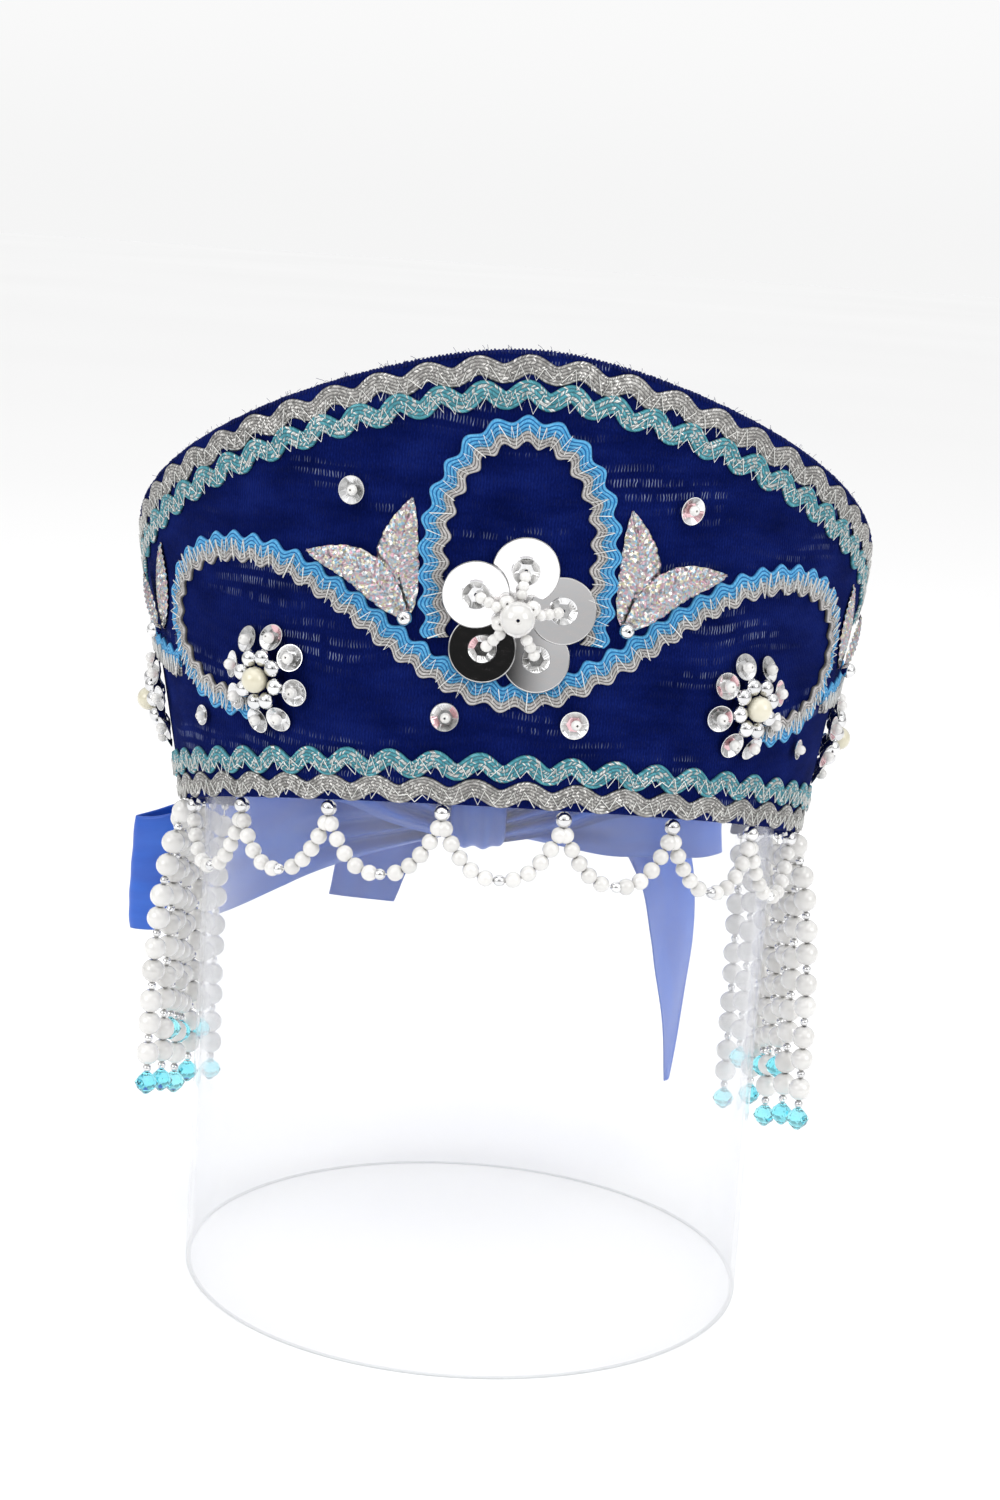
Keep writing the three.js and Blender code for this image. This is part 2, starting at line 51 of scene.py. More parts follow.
MM = 0.001
UP = np.array([0.0, 0.0, 1.0])
SIDES = ((-1, "left"), (1, "right"))

# Stand, from the frame
stand_low, stand_high = (np.array(corner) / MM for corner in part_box("stand"))
STAND_RADIUS = (stand_high[0] - stand_low[0]) / 2
STAND_Y = (stand_low[1] + stand_high[1]) / 2
STAND_HEIGHT = stand_high[2]
STAND_WALL = 1.5

# Crown: a flared wall, open at the back, with a peaked top edge
CROWN_RADIUS = 89.8
CROWN_WALL = 2.2
CROWN_END = 119
CROWN_PEAK = 116.2
CROWN_FALL = 0.5
CROWN_SOFT = 12
FLARE = radians(12)
TILT = radians(-14.5)
PIVOT_HEIGHT = 139
APEX = CROWN_RADIUS / sin(FLARE)

# Rickrack along the edges: place of its middle, wave, width and ribs
BRAID_END = 117.5
EDGE_BRAIDS = (
    dict(name="bottom_silver", up=3.0, period=13.4, swing=1.25, width=4.9, ribs=6, lift=0.15, sewn=0.5),
    dict(name="bottom_teal", up=9.8, period=11.9, swing=1.6, width=4.6, ribs=5, lift=0.45, sewn=0.6),
    dict(name="top_silver", down=4.1, period=13.2, swing=1.2, width=5.1, ribs=6, lift=0.15, sewn=0.62),
    dict(name="top_teal", down=10.6, period=11.1, swing=1.5, width=4.8, ribs=5, lift=0.45, sewn=0.66),
)

# Double braid of the scrollwork: offset to the left of its run, width and ribs
DOUBLE_BRAID = (
    dict(colour="blue", offset=1.55, width=4.3, ribs=4, lift=0.2),
    dict(colour="grey", offset=-1.75, width=2.8, ribs=3, lift=0.55),
)
SCROLL_WAVE = dict(period=7.0, swing=0.95)
ARCH = (
    (0, 96.1), (3.2, 95.2), (6.2, 92), (8.6, 86.5), (11, 78), (12.1, 68), (12.2, 56), (11.6, 43),
)
SCROLL = (
    (0, 28.2), (7, 30.6), (16.3, 39.5), (25.8, 51.8), (34, 60.6), (41, 65.2), (48, 67),
    (55.2, 65.4), (61.2, 60), (64.2, 51), (63.4, 41), (59, 32), (52.6, 27), (45.5, 24.8),
)
SIDE_SCROLL = (
    (66.3, 36.4), (75, 40.8), (85, 47), (92.5, 51), (99, 51.4), (103.4, 47.4), (103.2, 41.4),
    (98.6, 38.4),
)

# Rose of five mirror sequins round a pearl: each one's layer, lean in degrees and dish in mm
ROSE = dict(up=49.3, ring=12, start=82, radius=8.75, thickness=0.3, cup=3.7, layer=0.65, lift=1.05)
ROSE_LEVELS = (1, 3, 2, 1, 0)
ROSE_TIPS = ((5, 0), (5, 0), (-4.8, -4), (-6, 0.8), (-5.4, 4))
ROSE_DISHES = (0, 0, 0, -0.22, -0.16)
PEARL_RADIUS = 4.6

# Small flowers, foil leaves and lone sequins
FLOWERS = dict(front=(41.4, 31.6), side=(87, 29.8))
FLOWER = dict(petals=8, ring=11.3, cup=3.6, bead_ring=6.1, bead=2.4, heart=3.5)
LEAF_PAIRS = dict(
    front=dict(base=(16.1, 48), leaves=(((17.6, 63), (15.4, 78.6), 5.5), ((23, 60.4), (31.6, 65.2), 4.7))),
    side=dict(base=(73, 47.6), leaves=(((69.8, 59), (68, 71), 4.4), ((77, 57), (80, 65), 4.1))),
)
LEAF_BEAD = 2.1
SEQUINS = dict(upper=(24, 80.5, 3.7), lower=(10.1, 22.4, 3.7), side=(59, 22.2, 2.8))

# Strings of pearls under the bottom edge; a strand has its degrees, pairs of pearls and swing outwards
EDGE_DROP = 1.1
SWAG = dict(count=7, step=20.6, depth=17, pearl=2.2, seed=1.5, ball=2.15)
STRANDS = (
    (77.5, 4, 9), (83, 4, 4), (88.5, 3, 2), (94, 4, 1),
    (99.5, 3, 1.5), (105, 4, 1), (110.5, 3, 1), (116, 4, 2),
)
STRAND_SLACK = (0.2, 2.0, 1.2, 3.6, 2.6, 0.4, 1.8, 2.9)
STRAND = dict(pearl=3.35, gap=2.5, spacer=1.25, crystal=3.4, crystal_length=6.4)

# Ribbons and their bow. A tail's row: away from the knot, behind the axis, height, width, and the
# degrees that its width turns up and back
RIBBON_WIDTH = 40
RIBBON_THICK = 0.5
KNOT = dict(radius=9.5, half_height=12, height=118)
KNOT_OUT = STAND_RADIUS + 0.35 + KNOT["radius"]
TIE = dict(degs=(112, 118.5), inside=(3.05, 3.85), up=23, wide=38, narrow=18, wrap=(33, 20))
BOW_LOOPS = (
    dict(name="bow_loop_left", side=-1, reach=111, out=70, sag=21, width=40, fall=(0.16, 0.66)),
    dict(name="bow_loop_right", side=1, reach=80, out=80, sag=-10, width=34, fall=(0.5, 0.85)),
)
TAILS = (
    dict(name="bow_tail_left", side=-1, rows=(
        (3.5, 102.7, 113, 12, 80, 0), (19, 108, 114, 19, 60, 0),
        (32, 107, 101, 24, 24, 0), (37, 105, 84, 22, 4, 0),
    )),
    dict(name="bow_tail_right", side=1, rows=(
        (3.5, 102.7, 116, 12, 85, 0), (32, 109, 121, 18, 80, 5), (54, 106, 118, 24, 45, 30),
        (63, 101, 104, 32, 12, 54), (67, 97, 84, 30, 0, 60), (69, 94, 60, 18, 0, 62),
        (69, 92, 30, 3, 0, 64),
    )),
)


def stacked(*columns):
    """Columns that broadcast together, as the last axis of one array."""
    return np.stack(np.broadcast_arrays(*columns), -1)


def unit(vectors):
    return vectors / np.maximum(np.linalg.norm(vectors, axis=-1, keepdims=True), 1e-9)


def toward(axes, deg):
    """The direction that lies deg round from the first axis to the second."""
    return axes[0] * cos(radians(deg)) + axes[1] * sin(radians(deg))


def circle(sides):
    return np.linspace(0, 2 * pi, sides, endpoint=False)


# The crown's surface
def flat(deg, up):
    """Unrolls a place on the crown to its flat pattern."""
    angle = np.radians(deg) * sin(FLARE)
    slant = APEX + np.asarray(up, float)
    return stacked(slant * np.sin(angle), slant * np.cos(angle) - APEX)


def in_room(points):
    """Tilts points of the hat's own frame back and sets them on the stand's axis."""
    points = np.asarray(points, float)
    y = points[..., 1] * cos(TILT) - points[..., 2] * sin(TILT) + STAND_Y
    z = points[..., 1] * sin(TILT) + points[..., 2] * cos(TILT) + PIVOT_HEIGHT
    return np.stack([points[..., 0], y, z], -1)


def roll(pattern, lift):
    """Rolls points of the flat pattern up again, lift mm off the cloth."""
    slant = np.hypot(pattern[..., 0], pattern[..., 1] + APEX)
    turn = np.arctan2(pattern[..., 0], pattern[..., 1] + APEX) / sin(FLARE)
    radius = slant * sin(FLARE) + lift * cos(FLARE)
    height = (slant - APEX) * cos(FLARE) - lift * sin(FLARE)
    return in_room(np.stack([radius * np.sin(turn), -radius * np.cos(turn), height], -1))


def seat(deg, up):
    """The place on the cloth and the three axes there: right along it, up it and off it."""
    middle, step = flat(deg, up), 0.5
    right = roll(middle + (step, 0), 0) - roll(middle - (step, 0), 0)
    upward = roll(middle + (0, step), 0) - roll(middle - (0, step), 0)
    right /= np.linalg.norm(right)
    upward /= np.linalg.norm(upward)
    return roll(middle, 0.0), np.stack([right, upward, np.cross(right, upward)])


def top_edge(deg):
    return CROWN_PEAK - CROWN_FALL * (np.hypot(deg, CROWN_SOFT) - CROWN_SOFT)


def under_edge(deg, drop):
    """A point below the middle of the bottom edge."""
    return roll(flat(deg, 0.0), -CROWN_WALL / 2) - UP * np.asarray(drop)[..., None]


# Mesh arrays
class Shape:
    """Grows one mesh: points in mm, faces, a UV in mm for each point and a paint for each face."""

    def __init__(self):
        self.points, self.uvs, self.faces, self.paints, self.smooth = [], [], [], [], []
        self.total = 0

    def add(self, points, faces, uv=None, paint=0, smooth=True):
        points = np.asarray(points, float).reshape(-1, 3)
        self.points.append(points)
        self.uvs.append(np.zeros((len(points), 2)) if uv is None else np.asarray(uv, float).reshape(-1, 2))
        for group in faces:
            group = np.asarray(group, int)
            self.faces.append(group + self.total)
            self.paints.append(np.full(len(group), paint))
            self.smooth.append(np.full(len(group), smooth))
        self.total += len(points)


def linked(name, data):
    item = bpy.data.objects.new(name, data)
    bpy.context.scene.collection.objects.link(item)
    return item


def make(name, shape, looks, slot, *nodes):
    """Turns a shape into an object on the root body that stands for the given solids."""
    corners = np.concatenate([group.ravel() for group in shape.faces])
    sizes = np.concatenate([np.full(len(group), group.shape[1]) for group in shape.faces])
    points = np.concatenate(shape.points) * MM
    mesh = bpy.data.meshes.new(name)
    mesh.vertices.add(len(points))
    mesh.vertices.foreach_set("co", points.astype(np.float32).ravel())
    mesh.loops.add(len(corners))
    mesh.loops.foreach_set("vertex_index", corners.astype(np.int32))
    mesh.polygons.add(len(sizes))
    mesh.polygons.foreach_set("loop_start", (np.cumsum(sizes) - sizes).astype(np.int32))
    mesh.polygons.foreach_set("material_index", np.concatenate(shape.paints).astype(np.int32))
    mesh.polygons.foreach_set("use_smooth", np.concatenate(shape.smooth))
    layer = mesh.uv_layers.new(name="flat")
    layer.data.foreach_set("uv", np.concatenate(shape.uvs)[corners].astype(np.float32).ravel())
    mesh.update(calc_edges=True)
    mesh.validate()
    for look in looks:
        mesh.materials.append(look.material)
    piece = linked(name, mesh)
    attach(piece, "root")
    if nodes:
        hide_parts(*nodes)
    return piece


def quads(rows, columns, wrap_rows=False, wrap_columns=False):
    """Faces of a grid of points, joined round where it wraps."""
    i = np.arange(rows if wrap_rows else rows - 1)[:, None]
    j = np.arange(columns if wrap_columns else columns - 1)[None]
    down, across = (i + 1) % rows, (j + 1) % columns
    corners = (i * columns + j, i * columns + across, down * columns + across, down * columns + j)
    return stacked(*corners).reshape(-1, 4)


def caps(rows, columns):
    """The two end faces of rings of points."""
    ring = np.arange(columns)
    return np.array([ring, (rows - 1) * columns + ring[::-1]])


def add_rings(shape, rings, uv, flip=False):
    """Rings of points joined to a closed skin."""
    rows, count = rings.shape[:2]
    skin = quads(rows, count, False, True)
    shape.add(rings, [skin[:, ::-1] if flip else skin, caps(rows, count)], uv)


def add_sheet(shape, upper, lower, uv):
    """A thin sheet: two grids of points, joined round their edges."""
    add_rings(shape, np.concatenate([upper, lower[:, ::-1]], 1), np.concatenate([uv, uv[:, ::-1]], 1))


def frames(axes):
    """Two directions square to each axis and to each other."""
    axes = unit(np.atleast_2d(np.asarray(axes, float)))
    helper = np.where(np.abs(axes[:, 2:]) < 0.9, (0.0, 0.0, 1.0), (1.0, 0.0, 0.0))
    side = unit(np.cross(helper, axes))
    return side, np.cross(axes, side), axes


def spline(points, count, power=0.5):
    """A smooth run through the points: power 0 spaces them evenly, 0.5 by the root of their distance."""
    points = np.asarray(points, float)
    points = np.concatenate([[2 * points[0] - points[1]], points, [2 * points[-1] - points[-2]]])
    gaps = np.linalg.norm(np.diff(points, axis=0), axis=1) ** power
    place = np.linspace(0, len(points) - 3, count)
    low = np.minimum(place.astype(int), len(points) - 4)
    t = (place - low)[:, None]
    before, first, last, after = (points[low + k] for k in range(4))
    g0, g1, g2 = (gaps[low + k][:, None] for k in range(3))
    leave = ((first - before) / g0 - (last - before) / (g0 + g1) + (last - first) / g1) * g1
    arrive = ((last - first) / g1 - (after - first) / (g1 + g2) + (after - last) / g2) * g1
    square, cube = t * t, t ** 3
    return (
        first * (2 * cube - 3 * square + 1) + last * (3 * square - 2 * cube)
        + leave * (cube - 2 * square + t) + arrive * (cube - square)
    )


def lengths(path):
    return np.concatenate([[0], np.cumsum(np.linalg.norm(np.diff(path, axis=0), axis=1))])


def sample(want, along, rows):
    """Rows of values read off between their places along a run."""
    return np.stack([np.interp(want, along, column) for column in np.asarray(rows).T], -1)


def evenly(path, step):
    """The path again, with points about step apart."""
    along = lengths(path)
    count = max(2, int(round(along[-1] / step)) + 1)
    want = np.linspace(0, along[-1], count)
    return sample(want, along, path), want


def turned(profile, sides):
    """Rows of (radius, height) turned round the third axis."""
    angle = circle(sides)
    return stacked(profile[:, :1] * np.cos(angle), profile[:, :1] * np.sin(angle), profile[:, 1:])


def beads(shape, centres, radius, axes, paint=0, hole=0.16, rings=11, sides=18, squash=1.0):
    """Drilled beads: balls with a hole along their axis."""
    centres = np.atleast_2d(centres)
    radius = np.broadcast_to(np.asarray(radius, float), len(centres))
    arc = np.linspace(asin(hole), pi - asin(hole), rings)
    profile = np.stack([np.sin(arc), np.cos(arc) * squash], -1)
    bore = np.array([(hole * 0.85, -profile[0, 1] * 0.9), (hole * 0.85, profile[0, 1] * 0.9)])
    profile = np.concatenate([profile, bore])
    local = turned(profile, sides).reshape(-1, 3)
    side, ahead, axis = frames(np.broadcast_to(axes, centres.shape))
    turn = np.stack([side, ahead, axis], 1)
    points = centres[:, None] + radius[:, None, None] * (local @ turn)
    faces = quads(len(profile), sides, True, True)[:, ::-1]
    every = np.arange(len(centres))[:, None, None] * len(local) + faces[None]
    tone = np.repeat(rng.random((len(centres), 2)), len(local), axis=0)
    shape.add(points, [every.reshape(-1, 4)], tone, paint)


def tube(shape, path, radius, sides=6, paint=0):
    """A thread along a path, with closed ends."""
    heading = np.gradient(path, axis=0)
    side, ahead, _ = frames(heading)
    for k in range(1, len(path)):
        if side[k] @ side[k - 1] < 0:
            side[k], ahead[k] = -side[k], -ahead[k]
    angle = circle(sides)
    ring = side[:, None] * np.cos(angle)[:, None] + ahead[:, None] * np.sin(angle)[:, None]
    points = path[:, None] + radius * ring
    along = np.repeat(lengths(path), sides)
    uv = np.stack([along, np.tile(angle * radius, len(path))], -1)
    ends = caps(len(path), sides)[:, ::-1]
    shape.add(points, [quads(len(path), sides, False, True), ends], uv, paint)


def lathe(shape, profile, sides, place, axes, paint=0, smooth=True):
    """A closed ring of (radius, height) rows turned round the third axis at a place."""
    local = turned(np.asarray(profile, float), sides)
    faces = quads(len(profile), sides, True, True)[:, ::-1]
    shape.add(place + local @ axes, [faces], local[..., :2], paint, smooth)


# Materials
class Nodes:
    """A node tree under construction."""

    def __init__(self, tree):
        self.tree = tree

    def node(self, kind, inputs=(), **settings):
        made = self.tree.nodes.new(kind)
        for key, value in settings.items():
            setattr(made, key, value)
        for key, value in dict(inputs).items():
            if isinstance(value, bpy.types.NodeSocket):
                self.tree.links.new(value, made.inputs[key])
            else:
                made.inputs[key].default_value = value
        return made

    def math(self, operation, a, b=0.0, c=0.0):
        return self.node("ShaderNodeMath", {0: a, 1: b, 2: c}, operation=operation).outputs[0]

    def times(self, a, b):
        return self.math("MULTIPLY", a, b)

    def times_plus(self, a, b, c):
        return self.math("MULTIPLY_ADD", a, b, c)

    def ranged(self, value, low, high, to_low=0.0, to_high=1.0):
        inputs = {"Value": value, "From Min": low, "From Max": high, "To Min": to_low, "To Max": to_high}
        made = self.node("ShaderNodeMapRange", inputs, interpolation_type="SMOOTHSTEP")
        return made.outputs["Result"]


class Look(Nodes):
    """A procedural material under construction: nodes on UVs that are in mm."""

    def __init__(self, name, **constants):
        self.material = bpy.data.materials.new(name)
        self.material.use_nodes = True
        super().__init__(self.material.node_tree)
        self.shader = self.tree.nodes["Principled BSDF"]
        for socket, value in constants.items():
            self.shader.inputs[socket.replace("_", " ")].default_value = value
        self.uv = self.node("ShaderNodeTexCoord").outputs["UV"]

    def object_place(self):
        return self.node("ShaderNodeTexCoord").outputs["Object"]

    def split_uv(self):
        return self.node("ShaderNodeSeparateXYZ", {0: self.uv}).outputs

    def scaled(self, x, y, z=1.0, vector=None):
        inputs = {"Vector": vector or self.uv, "Scale": (x, y, z)}
        return self.node("ShaderNodeMapping", inputs).outputs["Vector"]

    def noise(self, scale, vector=None, detail=3.0):
        inputs = {"Vector": vector or self.uv, "Scale": scale, "Detail": detail}
        return self.node("ShaderNodeTexNoise", inputs).outputs["Fac"]

    def ramp(self, value, *stops):
        made = self.node("ShaderNodeValToRGB", {"Fac": value})
        elements = made.color_ramp.elements
        while len(elements) < len(stops):
            elements.new(0.5)
        for element, (place, colour) in zip(elements, stops):
            element.position = place
            element.color = (*colour, 1)
        return made.outputs["Color"]

    def mix(self, factor, a, b):
        a, b = (v if isinstance(v, bpy.types.NodeSocket) else (*v, 1) for v in (a, b))
        return self.node("ShaderNodeMix", {"Factor": factor, 6: a, 7: b}, data_type="RGBA").outputs[2]

    def bump(self, height, strength, distance_mm):
        inputs = {"Height": height, "Strength": strength, "Distance": distance_mm * MM}
        self.feed("Normal", self.node("ShaderNodeBump", inputs).outputs["Normal"])

    def sparkle(self, colour, amount):
        """Leans each cell's normal its own way, as glitter does."""
        centred = self.node("ShaderNodeVectorMath", {0: colour, 1: (0.5, 0.5, 0.5)}, operation="SUBTRACT")
        normal = self.node("ShaderNodeNewGeometry").outputs["Normal"]
        inputs = {0: centred.outputs[0], 1: (amount, amount, amount), 2: normal}
        leaned = self.node("ShaderNodeVectorMath", inputs, operation="MULTIPLY_ADD")
        made = self.node("ShaderNodeVectorMath", {0: leaned.outputs[0]}, operation="NORMALIZE")
        self.feed("Normal", made.outputs[0])

    def feed(self, socket, value):
        self.tree.links.new(value, self.shader.inputs[socket])

    def colour(self, value):
        self.feed("Base Color", value)


def cloth_look():
    """Blue ribbed pile cloth with rows of worn ticks that show its pale ground."""
    sheen = dict(Sheen_Weight=0.03, Sheen_Roughness=0.4, Sheen_Tint=(0.1, 0.22, 1, 1))
    look = Look("crown_cloth", Roughness=0.9, Specular_IOR_Level=0.02, **sheen)
    x, y, _ = look.split_uv()
    pile = look.noise(1.6, look.scaled(2.2, 0.8), 4.0)
    patch = look.noise(0.07, look.scaled(0.8, 1.6), 3.0)
    depth = look.times_plus(patch, 0.55, look.times(pile, 0.45))
    blue = look.ramp(
        depth, (0.36, (0.0010, 0.0034, 0.040)), (0.5, (0.0027, 0.0072, 0.078)),
        (0.64, (0.0060, 0.0145, 0.125)),
    )
    jitter = look.noise(0.5, detail=1.0)
    column = look.times_plus(jitter, 0.9, x)
    ribs = look.math("SINE", look.times(column, 2 * pi / 0.86))
    drift = look.noise(0.02, detail=1.0)
    row_height = look.times_plus(drift, 14.0, y)
    rows = look.ranged(look.math("SINE", look.times(row_height, 2 * pi / 3.6)), -0.5, 0.6)
    blue = look.mix(look.ranged(ribs, -1.0, 1.0, 0.0, 0.45), blue, (0.0012, 0.0040, 0.046))
    ticks = look.ranged(ribs, 0.45, 0.95)
    worn = look.ranged(look.noise(0.045, look.scaled(0.5, 1.5), 2.0), 0.53, 0.66, 0.02, 1.0)
    lost = look.ranged(look.noise(0.4, look.scaled(1.2, 0.3), 2.0), 0.38, 0.6)
    shown = look.times(look.times(rows, ticks), look.times(worn, lost))
    look.colour(look.mix(look.times(shown, 0.55), blue, (0.36, 0.42, 0.60)))
    look.bump(look.times_plus(ribs, 0.22, pile), 0.7, 0.35)
    return look


def lining_look():
    look = Look("crown_lining", Roughness=0.85, Specular_IOR_Level=0.1, Sheen_Weight=0.05)
    weave = look.noise(2.5, look.scaled(1.0, 0.4), 3.0)
    look.colour(look.ramp(weave, (0.3, (0.003, 0.006, 0.06)), (0.7, (0.006, 0.014, 0.11))))
    look.bump(weave, 0.4, 0.2)
    return look


def plait(look, dash, slant):
    """Slanting dashes along each rib of a braid: a chance for each, a painted shade that darkens the grooves
    between ribs and between dashes, and the rib they lie in.
    """
    along, rib, _ = look.split_uv()
    run = look.times_plus(look.math("PINGPONG", rib, 1.0), slant, along)
    run = look.math("DIVIDE", run, dash)
    row = look.math("FLOOR", rib)
    cell = look.node("ShaderNodeCombineXYZ", {0: look.math("FLOOR", run), 1: row})
    chance = look.node("ShaderNodeTexWhiteNoise", {"Vector": cell.outputs[0]}, noise_dimensions="2D")
    # Painted shade: darker at the edges of each rib and of each dash, where the grooves between them lie.
    groove_shade_mask = look.ranged(look.math("PINGPONG", rib, 0.5), 0.0, 0.3, 0.3, 1.0)
    bead = look.ranged(look.math("PINGPONG", run, 0.5), 0.0, 0.3, 0.5, 1.0)
    return chance, look.times(groove_shade_mask, bead), row


def silver_braid_look():
    """Plaited metal thread whose dashes catch the light one by one."""
    look = Look("silver_braid", Metallic=0.7, Roughness=0.36)
    chance, shade, _ = plait(look, 0.36, 0.6)
    tone = look.ramp(
        chance.outputs["Value"], (0.0, (0.20, 0.195, 0.19)), (0.5, (0.38, 0.37, 0.355)),
        (0.84, (0.55, 0.54, 0.52)), (1.0, (1.0, 0.98, 0.95)),
    )
    # Painted shade: the grooves between ribs and dashes are mixed towards near black.
    look.colour(look.mix(shade, (0.05, 0.05, 0.05), tone))
    look.sparkle(chance.outputs["Color"], 0.55)
    return look


def teal_braid_look():
    """Teal thread plaited with silver, which comes up mostly in every second rib."""
    look = Look("teal_braid")
    chance, shade, row = plait(look, 0.42, 0.7)
    limit = look.times_plus(look.math("MODULO", row, 2.0), -0.30, 0.80)
    metal = look.math("GREATER_THAN", chance.outputs["Value"], limit)
    tone = look.node("ShaderNodeSeparateColor", {0: chance.outputs["Color"]}).outputs[0]
    teal = look.ramp(tone, (0.0, (0.03, 0.20, 0.25)), (0.6, (0.06, 0.33, 0.40)), (1.0, (0.17, 0.50, 0.56)))
    silver = look.ramp(tone, (0.0, (0.24, 0.27, 0.27)), (0.6, (0.42, 0.44, 0.43)), (1.0, (0.70, 0.71, 0.69)))
    # Painted shade: the grooves between ribs and dashes are mixed towards a deep teal.
    look.colour(look.mix(shade, (0.008, 0.05, 0.07), look.mix(metal, teal, silver)))
    look.feed("Metallic", look.times(metal, 0.75))
    look.feed("Roughness", look.ranged(metal, 0.0, 1.0, 0.55, 0.32))
    look.sparkle(chance.outputs["Color"], 0.5)
    return look


def cotton_braid_look(name, groove_shade_colour, light, pale):
    """Ribbed cotton braid: fine slanting threads, with painted shade in the grooves between its ribs."""
    look = Look(name, Roughness=0.75, Specular_IOR_Level=0.15, Sheen_Weight=0.1)
    slant = look.node("ShaderNodeMapping", {"Vector": look.uv, "Rotation": (0, 0, 0.6)}).outputs["Vector"]
    thread = look.noise(1.0, look.scaled(2.6, 0.7, vector=slant), 3.0)
    rib = look.split_uv()["Y"]
    # Painted shade: the grooves between the ribs are mixed towards the first, deeper colour.
    groove_shade_mask = look.ranged(look.math("PINGPONG", rib, 0.5), 0.02, 0.3)
    look.colour(look.mix(groove_shade_mask, groove_shade_colour, look.ramp(thread, (0.35, light), (0.65, pale))))
    look.bump(thread, 0.5, 0.25)
    return look


def thread_look():
    look = Look("white_thread", Roughness=0.5, Sheen_Weight=0.1)
    look.colour(look.ramp(look.noise(3.0), (0.3, (0.74, 0.74, 0.71)), (0.7, (0.92, 0.92, 0.89))))
    return look


def mirror_look():
    look = Look("mirror_sequin", Metallic=1.0)
    smear = look.noise(0.25, look.scaled(1.0, 3.0), 4.0)
    look.colour(look.ramp(smear, (0.3, (0.92, 0.93, 0.95)), (0.7, (0.97, 0.94, 0.94))))
    look.feed("Roughness", look.ranged(smear, 0.35, 0.75, 0.02, 0.09))
    return look


def cup_look(name, low, high):
    look = Look(name, Metallic=0.9)
    smear = look.noise(0.6, detail=3.0)
    look.colour(look.ramp(smear, (0.3, low), (0.7, high)))
    look.feed("Roughness", look.ranged(smear, 0.3, 0.75, 0.05, 0.16))
    return look


def foil_look():
    """Holographic foil: small cells, each with its own faint hue and lean."""
    look = Look("foil_leaf", Metallic=0.85, Roughness=0.3)
    cell = look.node("ShaderNodeTexVoronoi", {"Vector": look.scaled(1.7, 1.7), "Scale": 1.0})
    hue = look.node("ShaderNodeSeparateColor", {0: cell.outputs["Color"]}).outputs[0]
    look.colour(look.ramp(
        hue, (0.0, (0.26, 0.25, 0.27)), (0.2, (0.52, 0.30, 0.36)), (0.36, (0.36, 0.34, 0.35)),
        (0.52, (0.24, 0.40, 0.52)), (0.68, (0.44, 0.42, 0.40)), (0.82, (0.50, 0.46, 0.28)),
        (1.0, (1.0, 1.0, 1.0)),
    ))
    look.sparkle(cell.outputs["Color"], 0.55)
    return look


def pearl_look(name, low, high, roughness):
    """Nacre: a clear coat over a body whose tone differs a little from bead to bead."""
    look = Look(name, Roughness=roughness, Coat_Weight=1.0, Coat_Roughness=0.05, Coat_IOR=1.7)
    tone = look.split_uv()["X"]
    cloud = look.noise(0.4, look.object_place(), 2.0)
    look.colour(look.ramp(look.times_plus(cloud, 0.3, tone), (0.1, low), (1.1, high)))
    return look


def toned_look(name, low, high, roughness=None, **constants):
    """A plain look whose tone differs a little from bead to bead."""
    look = Look(name, **constants)
    tone = look.split_uv()["X"]
    look.colour(look.ramp(tone, (0.0, low), (1.0, high)))
    if roughness:
        look.feed("Roughness", look.ranged(tone, 0.0, 1.0, *roughness))
    return look


def satin_look():
    """Blue satin: threads along the strip, with soft streaks."""
    sheen = dict(Sheen_Weight=0.25, Sheen_Roughness=0.3, Sheen_Tint=(0.3, 0.5, 1, 1))
    look = Look("ribbon_satin", Roughness=0.38, Anisotropic=0.5, **sheen)
    thread = look.noise(1.0, look.scaled(0.35, 6.0), 3.0)
    streak = look.noise(0.06, look.scaled(0.4, 2.0), 2.0)
    body = look.ramp(streak, (0.3, (0.012, 0.068, 0.42)), (0.7, (0.020, 0.120, 0.58)))
    look.colour(look.mix(look.times(thread, 0.25), body, (0.05, 0.2, 0.75)))
    look.bump(thread, 0.15, 0.1)
    return look


def clear_look(name, alpha, grazing, tint):
    """Clear sheet that shows more where it turns away."""
    look = Look(name, Specular_IOR_Level=0.8)
    facing = look.node("ShaderNodeLayerWeight", {"Blend": 0.5}).outputs["Facing"]
    look.feed("Alpha", look.times_plus(look.math("POWER", facing, 4.0), grazing, alpha))
    haze = look.noise(0.02, look.object_place(), 3.0)
    look.colour(look.ramp(haze, (0.3, tint), (0.7, tuple(1.12 * c for c in tint))))
    look.feed("Roughness", look.ranged(haze, 0.3, 0.7, 0.03, 0.08))
    return look


CLOTH, LINING, THREAD = cloth_look(), lining_look(), thread_look()
BRAID_LOOKS = dict(
    silver=silver_braid_look(),
    teal=teal_braid_look(),
    # The first colour of each cotton braid is the painted shade in the grooves between its ribs.
    blue=cotton_braid_look("blue_braid", (0.010, 0.10, 0.29), (0.042, 0.27, 0.56), (0.14, 0.45, 0.72)),
    grey=cotton_braid_look("grey_braid", (0.12, 0.115, 0.11), (0.38, 0.36, 0.355), (0.58, 0.56, 0.55)),
)
MIRROR, FOIL = mirror_look(), foil_look()
